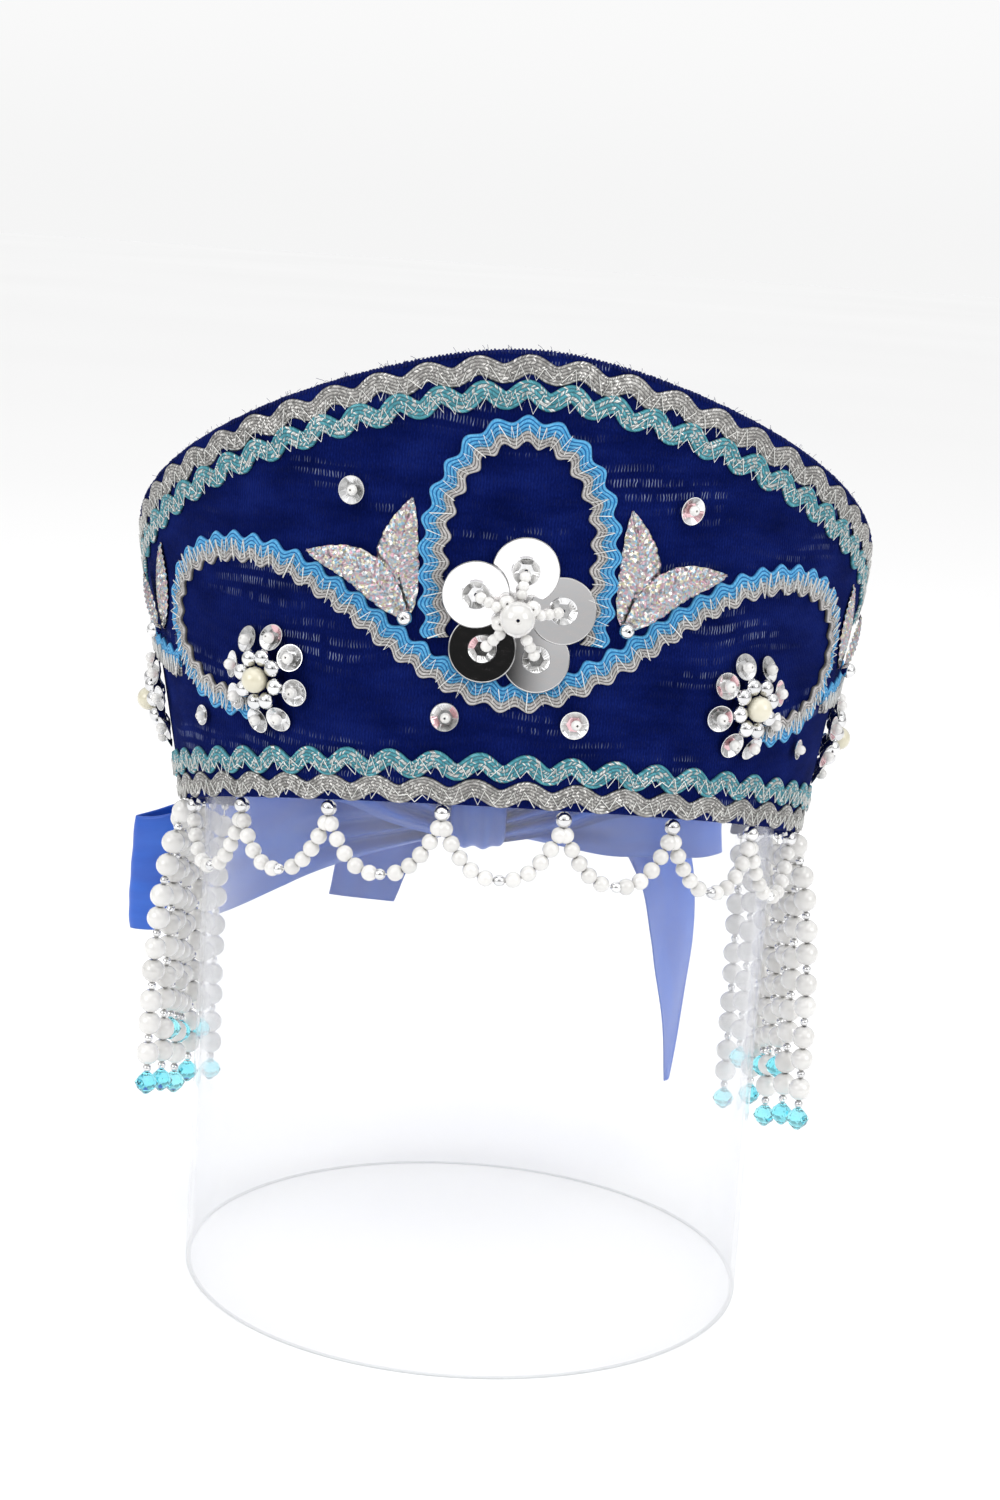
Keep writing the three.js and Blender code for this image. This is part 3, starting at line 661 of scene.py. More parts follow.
# A bright silver cup look with a darker grey copy and a rose copy: the copies are painted reflections on
# facets, and the grey one is also painted shade on the rose's rims.
CUP_LOOKS = (
    cup_look("cup_sequin", (0.68, 0.68, 0.69), (0.85, 0.85, 0.85)),
    cup_look("cup_sequin_painted_shade", (0.26, 0.26, 0.26), (0.50, 0.50, 0.50)),
    cup_look("cup_sequin_rose_reflection", (0.66, 0.40, 0.43), (0.80, 0.55, 0.58)),
)
CUP_CHANCES = (0.55, 0.32, 0.13)
PEARL = pearl_look("pearl", (0.64, 0.63, 0.61), (0.76, 0.75, 0.73), 0.22)
CREAM = pearl_look("cream_bead", (0.62, 0.58, 0.43), (0.72, 0.68, 0.54), 0.3)
SILVER = toned_look("silver_bead", (0.66, 0.66, 0.67), (0.82, 0.82, 0.82), (0.06, 0.15), Metallic=1.0)
CRYSTAL = toned_look(
    "crystal", (0.22, 0.78, 0.90), (0.36, 0.88, 0.96), Transmission_Weight=1.0, IOR=1.5, Roughness=0.02,
)
SATIN = satin_look()
CLEAR = clear_look("clear_stand", 0.05, 0.5, (0.80, 0.81, 0.85))
# The stand's rims: a darker grey clear look with more opacity, painted shade that shows each rim as a grey
# line.
CLEAR_EDGE = clear_look("clear_stand_edge", 0.22, 0.35, (0.44, 0.48, 0.52))


def build_stand():
    """A clear tube with eased rims."""
    ease = 0.4
    outer, inner = STAND_RADIUS, STAND_RADIUS - STAND_WALL
    wall = [(outer, ease), (outer, STAND_HEIGHT - ease), (outer - ease, STAND_HEIGHT)]
    wall += [(inner + ease, STAND_HEIGHT), (inner, STAND_HEIGHT - ease), (inner, ease)]
    wall += [(inner + ease, 0), (outer - ease, 0)]
    shape = Shape()
    lathe(shape, wall, 160, np.array([0, STAND_Y, 0]), np.eye(3))
    rows = np.repeat(np.arange(len(wall)), 160)
    # Painted shade: the rims and ends take the darker clear look, the walls the plain one.
    shape.paints[0] = np.where(np.isin(rows, (0, 4)), 0, 1)
    shape.smooth[0] = np.isin(rows, (0, 4))
    make("stand_tube", shape, (CLEAR, CLEAR_EDGE), "clear_stand", "stand")


def build_crown():
    """Cloth over a stiff band: outside, turned edges and inside."""
    degs = np.linspace(-CROWN_END, CROWN_END, 281)
    lip = np.linspace(0, pi, 7)[1:-1]
    half = CROWN_WALL / 2
    rows = [(run, 0.0, 0.0) for run in np.linspace(0, 1, 41)]
    rows += [(1, half * sin(a) * 0.6, -half + half * cos(a)) for a in lip]
    rows += [(run, 0.0, -CROWN_WALL) for run in np.linspace(1, 0, 21)]
    rows += [(0, -half * sin(a) * 0.6, -half - half * cos(a)) for a in lip]
    run, rise, lift = np.array(rows).T
    up = run[None] * top_edge(degs)[:, None] + rise[None]
    pattern = flat(degs[:, None], up)
    ripple = 0.12 * np.sin(pattern[..., 0] * 0.11 + 1.3 * np.sin(pattern[..., 1] * 0.07))
    points = roll(pattern, lift[None] + ripple)
    shape = Shape()
    add_rings(shape, points, pattern, flip=True)
    column = np.tile(np.arange(len(rows)), len(degs) - 1)
    first_inside, last_inside = 46, 66
    shape.paints[0] = np.isin(column, np.arange(first_inside, last_inside)).astype(int)
    make("crown_cloth", shape, (CLOTH, LINING), "crown_cloth", "crown_wall")


def build_edge_loops():
    """The knitted edge of the cloth: ribs that turn over the top edge, with loose fibres between them."""
    shape = Shape()
    degs = np.linspace(-CROWN_END + 0.3, CROWN_END - 0.3, 460)
    turn = np.linspace(-0.35, pi + 0.35, 8)
    half = CROWN_WALL / 2
    for deg in degs + rng.normal(0, 0.05, len(degs)):
        over = half * rng.uniform(0.95, 1.2)
        up = top_edge(deg) - 0.1 + 0.75 * over * np.sin(turn)
        lift = -half + over * np.cos(turn)
        tube(shape, roll(flat(deg, up), lift), 0.27, 5)
    for deg in rng.uniform(-CROWN_END + 1, CROWN_END - 1, 260):
        length, drift, lean = rng.uniform(0.6, 1.8), rng.normal(0, 0.5), rng.normal(0, 0.6)
        run = np.linspace(0, 1, 4)
        up = top_edge(deg) + 0.4 + length * run
        fibre = roll(flat(deg + drift * run ** 2, up), -half + lean * run)
        tube(shape, fibre, 0.05, 4)
    make("crown_edge_loops", shape, (LINING,), "crown_cloth")


def build_hem_stitches():
    """A sewn line along each edge of the lining."""
    shape = Shape()
    degs = np.linspace(-CROWN_END + 1.5, CROWN_END - 1.5, 900)
    for up in (np.full(len(degs), 6.0), top_edge(degs) - 6.0):
        path, _ = evenly(flat(degs, up), 3.4)
        for first, last in zip(path[:-1], path[1:]):
            run = np.linspace(0.1, 0.75, 4)[:, None]
            sunk = -CROWN_WALL - 0.18 * np.sin(pi * np.linspace(0, 1, 4))
            tube(shape, roll(first + (last - first) * run, sunk), 0.2, 5)
    make("lining_stitches", shape, (SATIN,), "crown_cloth")


def lay_braid(name, colour, braid, middle, across, along):
    """A ribbed braid laid on the cloth along a middle line of the flat pattern."""
    ribs, lift, thickness = braid["ribs"], braid["lift"], 0.75
    w = np.linspace(-1, 1, ribs * 4 + 1)
    body = thickness * (0.6 * (1 - np.abs(w) ** 5) + 0.4 * np.abs(np.sin(pi * ribs * (w + 1) / 2)))
    w_all = np.concatenate([w, (0.97, -0.97)])
    height = np.concatenate([lift + body, np.full(2, lift * 0.3)])
    pattern = middle[:, None] + across[:, None] * (w_all * (braid["width"] / 2))[None, :, None]
    shape = Shape()
    add_rings(shape, roll(pattern, height[None]), stacked(along[:, None], ribs * (w_all + 1)[None] / 2))
    make(f"{name}_rickrack", shape, (BRAID_LOOKS[colour],), f"{colour}_braid", f"{name}_braid")


def square_to(path):
    heading = unit(np.gradient(path, axis=0))
    return np.stack([-heading[:, 1], heading[:, 0]], -1)


def zigzag(shape, path, step, low, high, lift, radius, stray):
    """A sewing thread that goes from side to side of a run, straying from it a little."""
    points, _ = evenly(path, step)
    across = square_to(points)
    reach = np.where(np.arange(len(points)) % 2, low, high) + rng.normal(0, stray, len(points))
    slip = rng.normal(0, 0.25 * step, len(points))
    heading = np.stack([across[:, 1], -across[:, 0]], -1)
    pattern = points + across * reach[:, None] + heading * slip[:, None]
    tube(shape, roll(pattern, lift + rng.normal(0, 0.05, len(points))), radius, 5)


def build_edge_braids():
    stitches = Shape()
    for braid in EDGE_BRAIDS:
        degs = np.linspace(-BRAID_END, BRAID_END, 1600)
        up = braid["up"] if "up" in braid else top_edge(degs) - braid["down"]
        base, along = evenly(flat(degs, up), braid["period"] / 18)
        normal = square_to(base)
        wave = braid["swing"] * np.sin(2 * pi * along / braid["period"])
        middle = base + normal * wave[:, None]
        across = unit(0.75 * square_to(middle) + 0.25 * normal)
        lay_braid(braid["name"], braid["name"].split("_")[1], braid, middle, across, lengths(middle))
        low = -braid["width"] * braid["sewn"]
        zigzag(stitches, base, 1.7, low, high=0.4, lift=braid["lift"] + 0.9, radius=0.14, stray=0.55)
    make("edge_stitches", stitches, (THREAD,), "grey_braid")


def whole_run(half):
    return [(-deg, up) for deg, up in half[:0:-1]] + list(half)


def build_scrollwork():
    runs = [("arch", whole_run(ARCH), 1), ("scroll", whole_run(SCROLL), 1)]
    for side, word in SIDES:
        runs.append((f"{word}_side_scroll", [(side * deg, up) for deg, up in SIDE_SCROLL], side))
    stitches = Shape()
    for name, places, blue_side in runs:
        path = spline([flat(deg, up) for deg, up in places], 900, 0.0)
        base, along = evenly(path, SCROLL_WAVE["period"] / 14)
        normal = square_to(base) * blue_side
        wave = SCROLL_WAVE["swing"] * np.sin(2 * pi * along / SCROLL_WAVE["period"])
        for braid in DOUBLE_BRAID:
            middle = base + normal * (braid["offset"] + wave)[:, None]
            colour = braid["colour"]
            lay_braid(f"{name}_{colour}", colour, braid, middle, normal * blue_side, along)
        low, high = -2.6 * blue_side, 2.0 * blue_side
        zigzag(stitches, base, 1.05, low, high, lift=1.65, radius=0.22, stray=0.5)
    make("scroll_stitches", stitches, (THREAD,), "grey_braid")


def cup_sequin(shape, radius, place, axes, paints, sides=30):
    """A sequin pressed to a cup: a six-sided floor with a hole, six sloping facets and a rim."""
    angle = circle(sides)
    sector = pi / 3
    hexagon = 0.56 * radius * cos(sector / 2) / np.cos(angle % sector - sector / 2)
    rim, hole = np.full(sides, radius), np.full(sides, 0.13 * radius)
    gauge, rise = 0.16, 0.28 * radius
    rows = (
        (hole, 0.0), (hexagon, 0.0), (rim * 0.95, rise), (rim, rise), (rim, rise - gauge),
        (hexagon, -gauge), (hole, -gauge),
    )
    local = np.stack([stacked(r * np.cos(angle), r * np.sin(angle), z) for r, z in rows])
    faces = quads(len(rows), sides, True, True)
    shape.add(place + local @ axes, [faces], local[..., :2], paints[0], smooth=False)
    # Painted reflections: each facet and the floor take, at random, one of three copies of the cup look.
    facet_reflection_paints = np.array(paints)[rng.choice(len(paints), 7, p=CUP_CHANCES)]
    facet = facet_reflection_paints[np.tile(np.arange(sides) // (sides // 6), len(rows))]
    row = np.repeat(np.arange(len(rows)), sides)
    shape.paints[-1] = np.select([row == 0, row == 1], [facet_reflection_paints[6], facet], paints[0])


def tipped(axes, lean_x, lean_y):
    """Axes leaned by degrees about their own first and second directions."""
    about_x = Matrix.Rotation(radians(lean_x), 3, "X")
    about_y = Matrix.Rotation(radians(lean_y), 3, "Y")
    return np.array(about_x @ about_y).T @ axes


def build_rose():
    place, axes = seat(0, ROSE["up"])
    place = place + axes[2] * ROSE["lift"]
    top = max(ROSE_LEVELS) * ROSE["layer"] + ROSE["thickness"]
    pearls = Shape()
    rest = top + sqrt(PEARL_RADIUS ** 2 - (ROSE["ring"] - ROSE["radius"] - 0.35) ** 2)
    heart = place + axes[2] * (rest - ROSE["layer"])
    beads(pearls, heart, PEARL_RADIUS, axes[2], hole=0.11, rings=19, sides=40)
    r, t = ROSE["radius"], ROSE["thickness"]
    disc = np.array([
        (0.9, 0.02), (1.1, 0), (r / 2, 0), (r - 0.5, 0), (r - 0.12, 0), (r, t / 2), (r - 0.12, t - 0.03),
        (r - 0.25, t), (r - 0.4, t), (r * 0.75, t), (r / 2, t), (r / 4, t), (1.1, t), (0.9, t - 0.02),
    ])
    for k, level in enumerate(ROSE_LEVELS):
        out = toward(axes, ROSE["start"] + 72 * k)
        lean = tipped(axes, *ROSE_TIPS[k])
        middle = place + out * ROSE["ring"] + axes[2] * (level * ROSE["layer"] - ROSE["layer"])
        shape = Shape()
        dished = disc + np.outer((disc[:, 0] / r) ** 2 * ROSE_DISHES[k], (0, 1))
        lathe(shape, dished, 72, middle, lean)
        # Painted shade: the rim and the outer band of the underside take the darker grey cup look, a line
        # that stands in for the shadow and dark reflection between overlapping discs.
        rim = np.isin(np.repeat(np.arange(len(disc)), 72), (3, 4, 5, 6))
        shape.paints[-1] = np.where(rim, 2, 0)
        cup_sequin(shape, ROSE["cup"], middle + lean[2] * (t + 0.25), lean, (1, 2, 3))
        looks = (MIRROR, *CUP_LOOKS)
        make(f"rose_mirror_{k + 1}", shape, looks, "mirror_sequin", f"rose_sequin_{k + 1}")
        for reach, size, rise in ((10.6, 1.55, 2.2), (8.3, 1.5, 3.0), (6.2, 1.45, 3.4)):
            spot = place + out * reach + axes[2] * (max(level, 1) * ROSE["layer"] + rise - ROSE["layer"])
            beads(pearls, spot, size, out + 0.2 * axes[2], hole=0.2)
    for turn in (35, 128, 200):
        beads(pearls, place + toward(axes, turn) * 4.6 + axes[2] * 3.6, 2.2, axes[2])
    make("rose_pearls", pearls, (PEARL,), "pearl", "rose_pearl")


def build_flowers():
    for side, word in SIDES:
        for name, (deg, up) in FLOWERS.items():
            place, axes = seat(side * deg, up)
            shape = Shape()
            start = rng.uniform(0, 45)
            for k in range(FLOWER["petals"]):
                out = toward(axes, start + 360 * k / FLOWER["petals"] + rng.uniform(-4, 4))
                sideways = np.cross(axes[2], out)
                facing = toward((axes[2], out), rng.uniform(14, 26))
                own = np.stack([sideways, np.cross(facing, sideways), facing])
                petal = place + out * FLOWER["ring"] + axes[2] * 1.1
                cup_sequin(shape, FLOWER["cup"], petal, own, (0, 4, 5))
                beads(shape, petal + facing * 1.9 - out * 0.4, 1.6, facing, paint=3, hole=0.2)
                ball = place + out * FLOWER["bead_ring"] + axes[2] * (FLOWER["bead"] + 1.0)
                beads(shape, ball, FLOWER["bead"], out, paint=1, hole=0.22)
            beads(shape, place + axes[2] * (FLOWER["heart"] + 1.6), FLOWER["heart"], axes[1], paint=2)
            looks = (CUP_LOOKS[0], SILVER, CREAM, PEARL, *CUP_LOOKS[1:])
            make(f"{word}_{name}_blossom", shape, looks, "cup_sequin", f"{word}_{name}_flower")


def add_leaf(shape, places, half_width, lift):
    """A pressed foil leaf with a toothed edge, a midrib and slanting veins."""
    path = spline([flat(deg, up) for deg, up in places], 200, 0.0)
    path, along = evenly(path, 0.4)
    run = along / along[-1]
    teeth = 1 + 0.07 * np.abs(np.sin(pi * 8 * run))
    half = np.maximum(0.3, half_width * np.sin(pi * run ** 0.85) ** 0.8) * teeth
    across = square_to(path)
    w = np.linspace(-1, 1, 25)
    offset = half[:, None] * w[None]
    vein = np.abs(((along[:, None] - 0.8 * np.abs(offset)) / 2.1) % 1 - 0.5)
    dome = 1.1 * (1 - w[None] ** 2) * np.sin(pi * run[:, None])
    rise = dome + 0.9 * (vein - 0.25) - 0.6 * np.exp(-(offset / 0.5) ** 2)
    pattern = path[:, None] + across[:, None] * offset[..., None]
    upper, lower = (roll(pattern, lift + face + rise) for face in (0.45, 0.25))
    add_sheet(shape, upper, lower, stacked(along[:, None], offset))


def build_leaves():
    for side, word in SIDES:
        for name, pair in LEAF_PAIRS.items():
            shape = Shape()
            for k, (mid, tip, half_width) in enumerate(pair["leaves"]):
                places = [(side * deg, up) for deg, up in (pair["base"], mid, tip)]
                add_leaf(shape, places, half_width, 0.3 + 1.3 * k)
            place, axes = seat(side * pair["base"][0], pair["base"][1])
            beads(shape, place + axes[2] * (LEAF_BEAD + 1.2), LEAF_BEAD, axes[2], paint=1, hole=0.2)
            make(f"{word}_{name}_foil", shape, (FOIL, SILVER), "foil_leaf", f"{word}_{name}_leaves")


def build_sequins():
    for side, word in SIDES:
        for name, (deg, up, radius) in SEQUINS.items():
            place, axes = seat(side * deg, up)
            shape = Shape()
            lean = tipped(axes, *rng.uniform(-9, 9, 2))
            cup_sequin(shape, radius, place + axes[2] * 0.8, lean, (0, 2, 3))
            beads(shape, place + axes[2] * 2.1 + axes[0] * 0.3, 1.4, axes[2], paint=1, hole=0.24)
            looks = (CUP_LOOKS[0], PEARL, *CUP_LOOKS[1:])
            make(f"{word}_{name}_spangle", shape, looks, "cup_sequin", f"{word}_{name}_sequin")


def build_swags():
    """Strings of pearls between silver balls, with a silver seed at the bottom of each."""
    shape = Shape()
    ball_drop = EDGE_DROP + SWAG["ball"] * 0.6
    hang = ball_drop + SWAG["ball"] + SWAG["pearl"] * 0.3
    for k in range(SWAG["count"]):
        start = (k - SWAG["count"] / 2) * SWAG["step"]
        run = np.linspace(0, 1, 300)
        sag = (SWAG["depth"] + EDGE_DROP + SWAG["pearl"] - hang) * (1 - np.abs(2 * run - 1) ** 2.5)
        path = under_edge(start + run * SWAG["step"], hang + sag)
        along = lengths(path)
        middle = along[-1] / 2
        each = int(round((middle - SWAG["seed"]) / (2 * SWAG["pearl"])))
        steps = SWAG["seed"] + (middle - SWAG["seed"]) * (np.arange(each) + 0.5) / each
        places = np.concatenate([middle - steps[::-1], middle + steps])
        heading = sample(places, along, np.gradient(path, axis=0))
        sizes = SWAG["pearl"] * rng.uniform(0.97, 1.03, len(places))
        beads(shape, sample(places, along, path), sizes, heading)
        beads(shape, path[150], SWAG["seed"], path[151] - path[149], paint=1, squash=1.1)
        tube(shape, path[::6], 0.18, 5, paint=2)
    for k in range(SWAG["count"] + 1):
        deg = (k - SWAG["count"] / 2) * SWAG["step"]
        beads(shape, under_edge(deg, ball_drop + 0.6), SWAG["ball"], (0, 0, 1), paint=1, hole=0.2)
    make("pearl_garland", shape, (PEARL, SILVER, THREAD), "pearl", "pearl_swags")


def add_crystal(shape, top, axis, paint):
    """A cut bicone with flat facets."""
    radius, length = STRAND["crystal"], STRAND["crystal_length"]
    side, ahead, axis = (v[0] for v in frames(axis))
    rows = ((0.9, 0.0), (radius * 0.8, 0.27), (radius, 0.5), (radius * 0.8, 0.73), (0.9, 1.0))
    sides = 8
    rings = []
    for k, (r, run) in enumerate(rows):
        angle = circle(sides) + (k % 2) * pi / sides
        ring = np.outer(np.cos(angle), side) + np.outer(np.sin(angle), ahead)
        rings.append(top + axis * run * length + r * ring)
    faces = []
    for k in range(len(rows) - 1):
        low, high = k * sides, (k + 1) * sides
        j = np.arange(sides)
        nxt = (j + 1) % sides
        a, b, c, d = low + j, high + j, high + nxt, low + nxt
        pair = ((a, b, c), (a, c, d)) if k % 2 else ((a, b, d), (d, b, c))
        faces += [np.stack(corners, -1) for corners in pair]
    triangles = np.concatenate(faces)
    tone = np.tile(rng.random(2), (len(rows) * sides, 1))
    shape.add(np.concatenate(rings), [triangles[:, ::-1], caps(len(rows), sides)], tone, paint, smooth=False)


def build_strands():
    """Strings of pearls in pairs between silver spacers, each with a cut crystal at its end."""
    for side, word in SIDES:
        for k, (deg, pairs, swing) in enumerate(STRANDS):
            shape = Shape()
            top = under_edge(side * deg, EDGE_DROP)
            out = unit(top - (0, STAND_Y, top[2]))
            sideways = np.cross(out, UP)
            bend, phase, slip = rng.uniform(-0.9, 0.9), rng.uniform(0, 6), rng.uniform(-0.014, 0.014)

            def at(drop):
                sway = bend * np.sin(drop / 26 + phase) * np.minimum(drop / 20, 1)
                away = swing * (1 - exp(-max(drop, 0.0) / 22))
                return top - UP * drop + out * away + sideways * (sway + slip * drop)

            def along(drop):
                return unit(at(drop + 1) - at(drop - 1))

            pearl, gap = STRAND["pearl"], STRAND["gap"] * rng.uniform(0.9, 1.1)
            groups = [2] * (pairs + 1) if k % 2 else [1] + [2] * pairs + [1]
            end = STRAND_SLACK[k]
            for group in groups:
                for _ in range(group):
                    beads(shape, at(end + pearl), pearl * rng.uniform(0.97, 1.02), along(end + pearl))
                    end += 2 * pearl
                beads(shape, at(end + gap / 2), STRAND["spacer"], along(end), paint=1, hole=0.3)
                end += gap
            add_crystal(shape, at(end), along(end), 2)
            tube(shape, np.array([at(d) for d in np.linspace(-0.8, end, 24)]), 0.2, 5, paint=3)
            beads(shape, at(0.0), 1.2, -UP, paint=1)
            looks = (PEARL, SILVER, CRYSTAL, THREAD)
            make(f"{word}_drop_{k + 1}", shape, looks, "pearl", f"{word}_strand_{k + 1}")


# Ribbons
PLEAT_SLOPES = np.linspace(0, 8, 200)
PLEAT_RATIOS = np.mean(
    np.sqrt(1 + (PLEAT_SLOPES[:, None] * np.cos(np.linspace(0, pi, 60))) ** 2), axis=1,
)


def ribbon(name, rows, pleats, node, cut, crease=0.0):
    """A strip along rows of (point, width, way across, cut there), in pleats where its cut is wider."""
    path = spline([row[0] for row in rows], 240)
    path, along = evenly(path, 1.2)
    place = along / along[-1] * (len(rows) - 1)
    station = np.arange(len(rows))
    widths = spline([[row[1]] for row in rows], 400, 0.0)[:, 0]
    width = np.maximum(np.interp(place, np.linspace(0, len(rows) - 1, 400), widths), 1.0)
    over = unit(sample(place, station, [row[2] for row in rows]))
    heading = unit(np.gradient(path, axis=0))
    face = unit(np.cross(heading, over))
    w = np.linspace(-1, 1, 41)
    whole = np.interp(place, station, [row[3] if len(row) > 3 else cut for row in rows])
    slope = np.interp(np.maximum(whole / width, 1.0), PLEAT_RATIOS, PLEAT_SLOPES)
    depth = slope * width / (2 * pi * pleats)
    phase = rng.uniform(0, 6)
    fold = depth[:, None] * np.sin(pi * pleats * w[None] + phase + 0.9 * np.sin(2.2 * w[None] + phase))
    soft = crease * np.sin(along[:, None] / 11 + 2.2 * w[None] + phase) * np.sin(along[:, None] / 23 + phase)
    curl = 0.4 * np.abs(w[None]) ** 6
    middle = path[:, None] + over[:, None] * (w[None] * width[:, None] / 2)[..., None]
    lifted = fold + soft + curl
    upper = middle + face[:, None] * (lifted + RIBBON_THICK / 2)[..., None]
    lower = middle + face[:, None] * (lifted - RIBBON_THICK / 2)[..., None]
    shape = Shape()
    add_sheet(shape, upper, lower, stacked(along[:, None], w[None] * cut / 2))
    piece = make(name, shape, (SATIN,), "ribbon_satin", node)
    return piece


def in_stand(x, out, z):
    """A point given from the stand's axis."""
    return np.array([x, out + STAND_Y, z])


def build_knot():
    """The ribbon wrapped round the middle of the bow, in folds."""
    sides, rows = 64, 27
    angle = circle(sides)
    x = np.linspace(-1, 1, rows)
    bulge = np.sqrt(np.maximum(1 - np.abs(x) ** 3.2, 0.0)) * 0.28 + 0.72
    folds = 0.045 * np.sin(9 * x[:, None] + 0.8 * np.sin(angle[None] + 1)) * (1 - x[:, None] ** 4)
    reach = bulge[:, None] * (0.94 + folds)
    points = stacked(
        x[:, None] * KNOT["radius"] * 0.97,
        KNOT_OUT + STAND_Y + reach * KNOT["radius"] * np.cos(angle)[None],
        KNOT["height"] + reach * KNOT["half_height"] * np.sin(angle)[None],
    )
    shape = Shape()
    add_rings(shape, points, stacked(angle[None] * 11, x[:, None] * 20), flip=True)
    make("bow_knot_folds", shape, (SATIN,), "ribbon_satin", "bow_knot")


def build_ties():
    for side, word in SIDES:
        rows = []
        for deg, inside in zip(TIE["degs"], TIE["inside"]):
            here = roll(flat(side * deg, TIE["up"]), -inside)
            higher = roll(flat(side * deg, TIE["up"] + 1), -inside)
            rows.append((here, TIE["wide"], unit(higher - here)))
        last = rows[-1][0][2]
        for k, deg in enumerate(TIE["wrap"]):
            share = (k + 1) / (len(TIE["wrap"]) + 1)
            round_out = STAND_RADIUS + 1.35
            point = in_stand(
                side * round_out * sin(radians(deg)), round_out * cos(radians(deg)),
                last + share * (KNOT["height"] - last),
            )
            rows.append((point, TIE["wide"] + share * (TIE["narrow"] - TIE["wide"]), UP))
        knot_end = in_stand(side * (KNOT["radius"] - 1.5), KNOT_OUT - 2, KNOT["height"])
        rows.append((knot_end, TIE["narrow"], UP))
        ribbon(f"{word}_tie_ribbon", rows, 4, f"{word}_tie", RIBBON_WIDTH)


def build_bow():
    for loop in BOW_LOOPS:
        width, (near, far) = loop["width"], loop["fall"]
        # Shares of the reach, of the sag and of the width, out to the fold
        half = ((0.48, near, 0.64), (0.74, far, 0.90), (0.92, 0.95, 0.97))
        start = (KNOT["radius"] - 1.5) / loop["reach"]
        table = [(start, 0.0, 0.4, 2)]
        table += [(share, fall, wide, -3) for share, fall, wide in half]
        table += [(1.0, 1.0, 0.93, 3)]
        table += [(share, fall, wide, 10) for share, fall, wide in half[::-1]]
        table += [(start, 0.0, 0.4, 6)]
        rows = []
        for share, fall, wide, behind in table:
            out = KNOT_OUT + share * (loop["out"] - KNOT_OUT) + behind
            place = in_stand(loop["side"] * share * loop["reach"], out, KNOT["height"] - fall * loop["sag"])
            rows.append((place, wide * width, UP, width * max(wide, 0.97 if share < 0.7 else 0.0)))
        ribbon(f"{loop['name']}_ribbon", rows, 4, loop["name"], width, 0.7)
    for tail in TAILS:
        rows = []
        for x, out, z, width, turn, twist in tail["rows"]:
            level = toward(np.array([[tail["side"], 0, 0], [0, 1, 0]]), twist)
            rows.append((in_stand(tail["side"] * x, out, z), width, toward((level, UP), turn)))
        cut = max(row[1] for row in rows)
        widest = [row[1] for row in rows].index(cut)
        rows = [(*row, cut if k <= widest else row[1]) for k, row in enumerate(rows)]
        ribbon(f"{tail['name']}_ribbon", rows, 3, tail["name"], cut, 0.7)


build_stand()
build_crown()
build_edge_loops()
build_hem_stitches()
build_edge_braids()
build_scrollwork()
build_rose()
build_flowers()
build_leaves()
build_sequins()
build_swags()
build_strands()
build_knot()
build_ties()
build_bow()


# Studio: a white floor, a white room that is dim on the camera's side, and soft boxes
def build_floor():
    look = Look("studio_floor", Roughness=0.9, Specular_IOR_Level=0.0)
    cloud = look.noise(0.5, look.object_place(), 2.0)
    look.colour(look.ramp(cloud, (0.3, (0.90, 0.90, 0.90)), (0.7, (0.92, 0.92, 0.92))))
    size = 20.0
    mesh = bpy.data.meshes.new("floor")
    corners = [(-size, -size, 0), (size, -size, 0), (size, size, 0), (-size, size, 0)]
    mesh.from_pydata(corners, [], [(0, 1, 2, 3)])
    mesh.materials.append(look.material)
    floor = linked("floor", mesh)


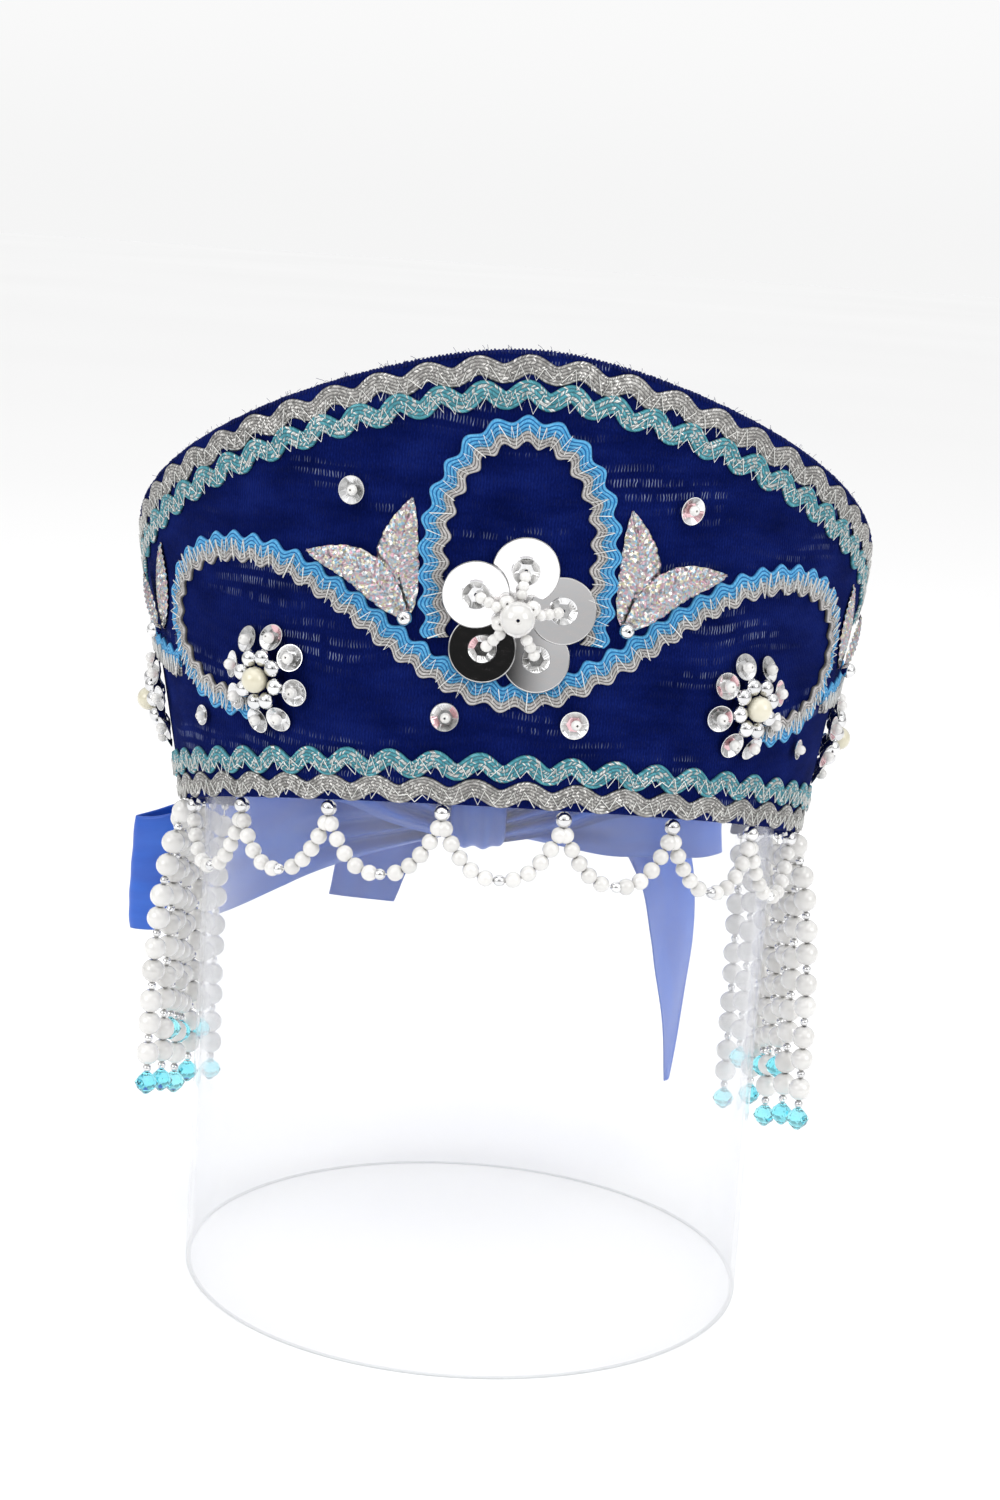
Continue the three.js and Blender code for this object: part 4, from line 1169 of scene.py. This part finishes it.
def build_world():
    """Brighter overhead than near the horizon, with a dim patch on the camera's side for the mirrors."""
    world = bpy.data.worlds.new("studio")
    world.use_nodes = True
    bpy.context.scene.world = world
    world.node_tree.nodes.clear()
    sky = Nodes(world.node_tree)
    where = sky.node("ShaderNodeTexCoord").outputs["Generated"]
    x, y, z = sky.node("ShaderNodeSeparateXYZ", {0: where}).outputs
    aside = sky.math("ABSOLUTE", sky.math("ADD", x, 0.08))
    dim = sky.times(sky.ranged(aside, 0.05, 0.22, 1.0, 0.0), sky.ranged(z, 0.3, 0.55, 1.0, 0.0))
    dim = sky.times(dim, sky.ranged(y, -0.6, -0.2, 1.0, 0.0))
    light = sky.times(sky.times_plus(dim, -0.97, 1.0), sky.ranged(z, 0.1, 0.6, 0.5, 1.1))
    seen = sky.ranged(z, 0.0, 0.09, 0.917, 0.955)
    white = (1, 1, 1, 1)
    room, backdrop = (
        sky.node("ShaderNodeBackground", {"Color": white, "Strength": strength}).outputs[0]
        for strength in (light, seen)
    )
    from_camera = sky.node("ShaderNodeLightPath").outputs["Is Camera Ray"]
    mixed = sky.node("ShaderNodeMixShader", {"Fac": from_camera, 1: room, 2: backdrop}).outputs[0]
    sky.node("ShaderNodeOutputWorld", {"Surface": mixed})


def placed(name, data, axes, place):
    """Links a light or camera with its own axes and place."""
    matrix = np.eye(4)
    matrix[:3, :3] = np.stack(axes, 1)
    matrix[:3, 3] = place
    item = linked(name, data)
    item.matrix_world = Matrix(matrix)
    return item


def add_softbox(name, place, target, size, power):
    light = bpy.data.lights.new(name, "AREA")
    light.shape = "RECTANGLE"
    light.size, light.size_y = size
    light.energy = power
    back = unit(np.array(place) - np.array(target))
    placed(name, light, [v[0] for v in frames(back)], place)


def build_camera():
    """The photograph's view: above the stand's foot, a little turned and rolled."""
    pitch, roll_angle, yaw = 11.39, 3.79, 2.50
    across, back, height = 1.75, 744.1, 308.5
    lens, film = 62.4, 36
    turn = np.array(Matrix.Rotation(radians(-yaw), 3, "Z"))
    right = np.array([1.0, 0, 0])
    upward = toward((UP, np.array([0.0, 1.0, 0.0])), pitch)
    axes = toward((right, upward), roll_angle), toward((upward, -right), roll_angle), np.cross(right, upward)
    place = turn @ np.array([across, -back, height]) + (0, STAND_Y, 0)
    data = bpy.data.cameras.new("camera")
    data.sensor_fit = "VERTICAL"
    data.sensor_height = film
    data.lens = lens
    data.clip_start = 0.01
    bpy.context.scene.camera = placed("camera", data, [turn @ axis for axis in axes], place * MM)


build_floor()
build_world()
build_camera()
add_softbox("overhead", (0, -0.1, 1.3), (0, 0, 0.15), (1.6, 1.2), 6)
add_softbox("left_box", (-1.1, -0.9, 0.8), (0, 0, 0.2), (0.8, 0.8), 5)
add_softbox("right_box", (1.1, -0.9, 0.8), (0, 0, 0.2), (0.8, 0.8), 5)
bpy.context.scene.view_settings.view_transform = "Standard"
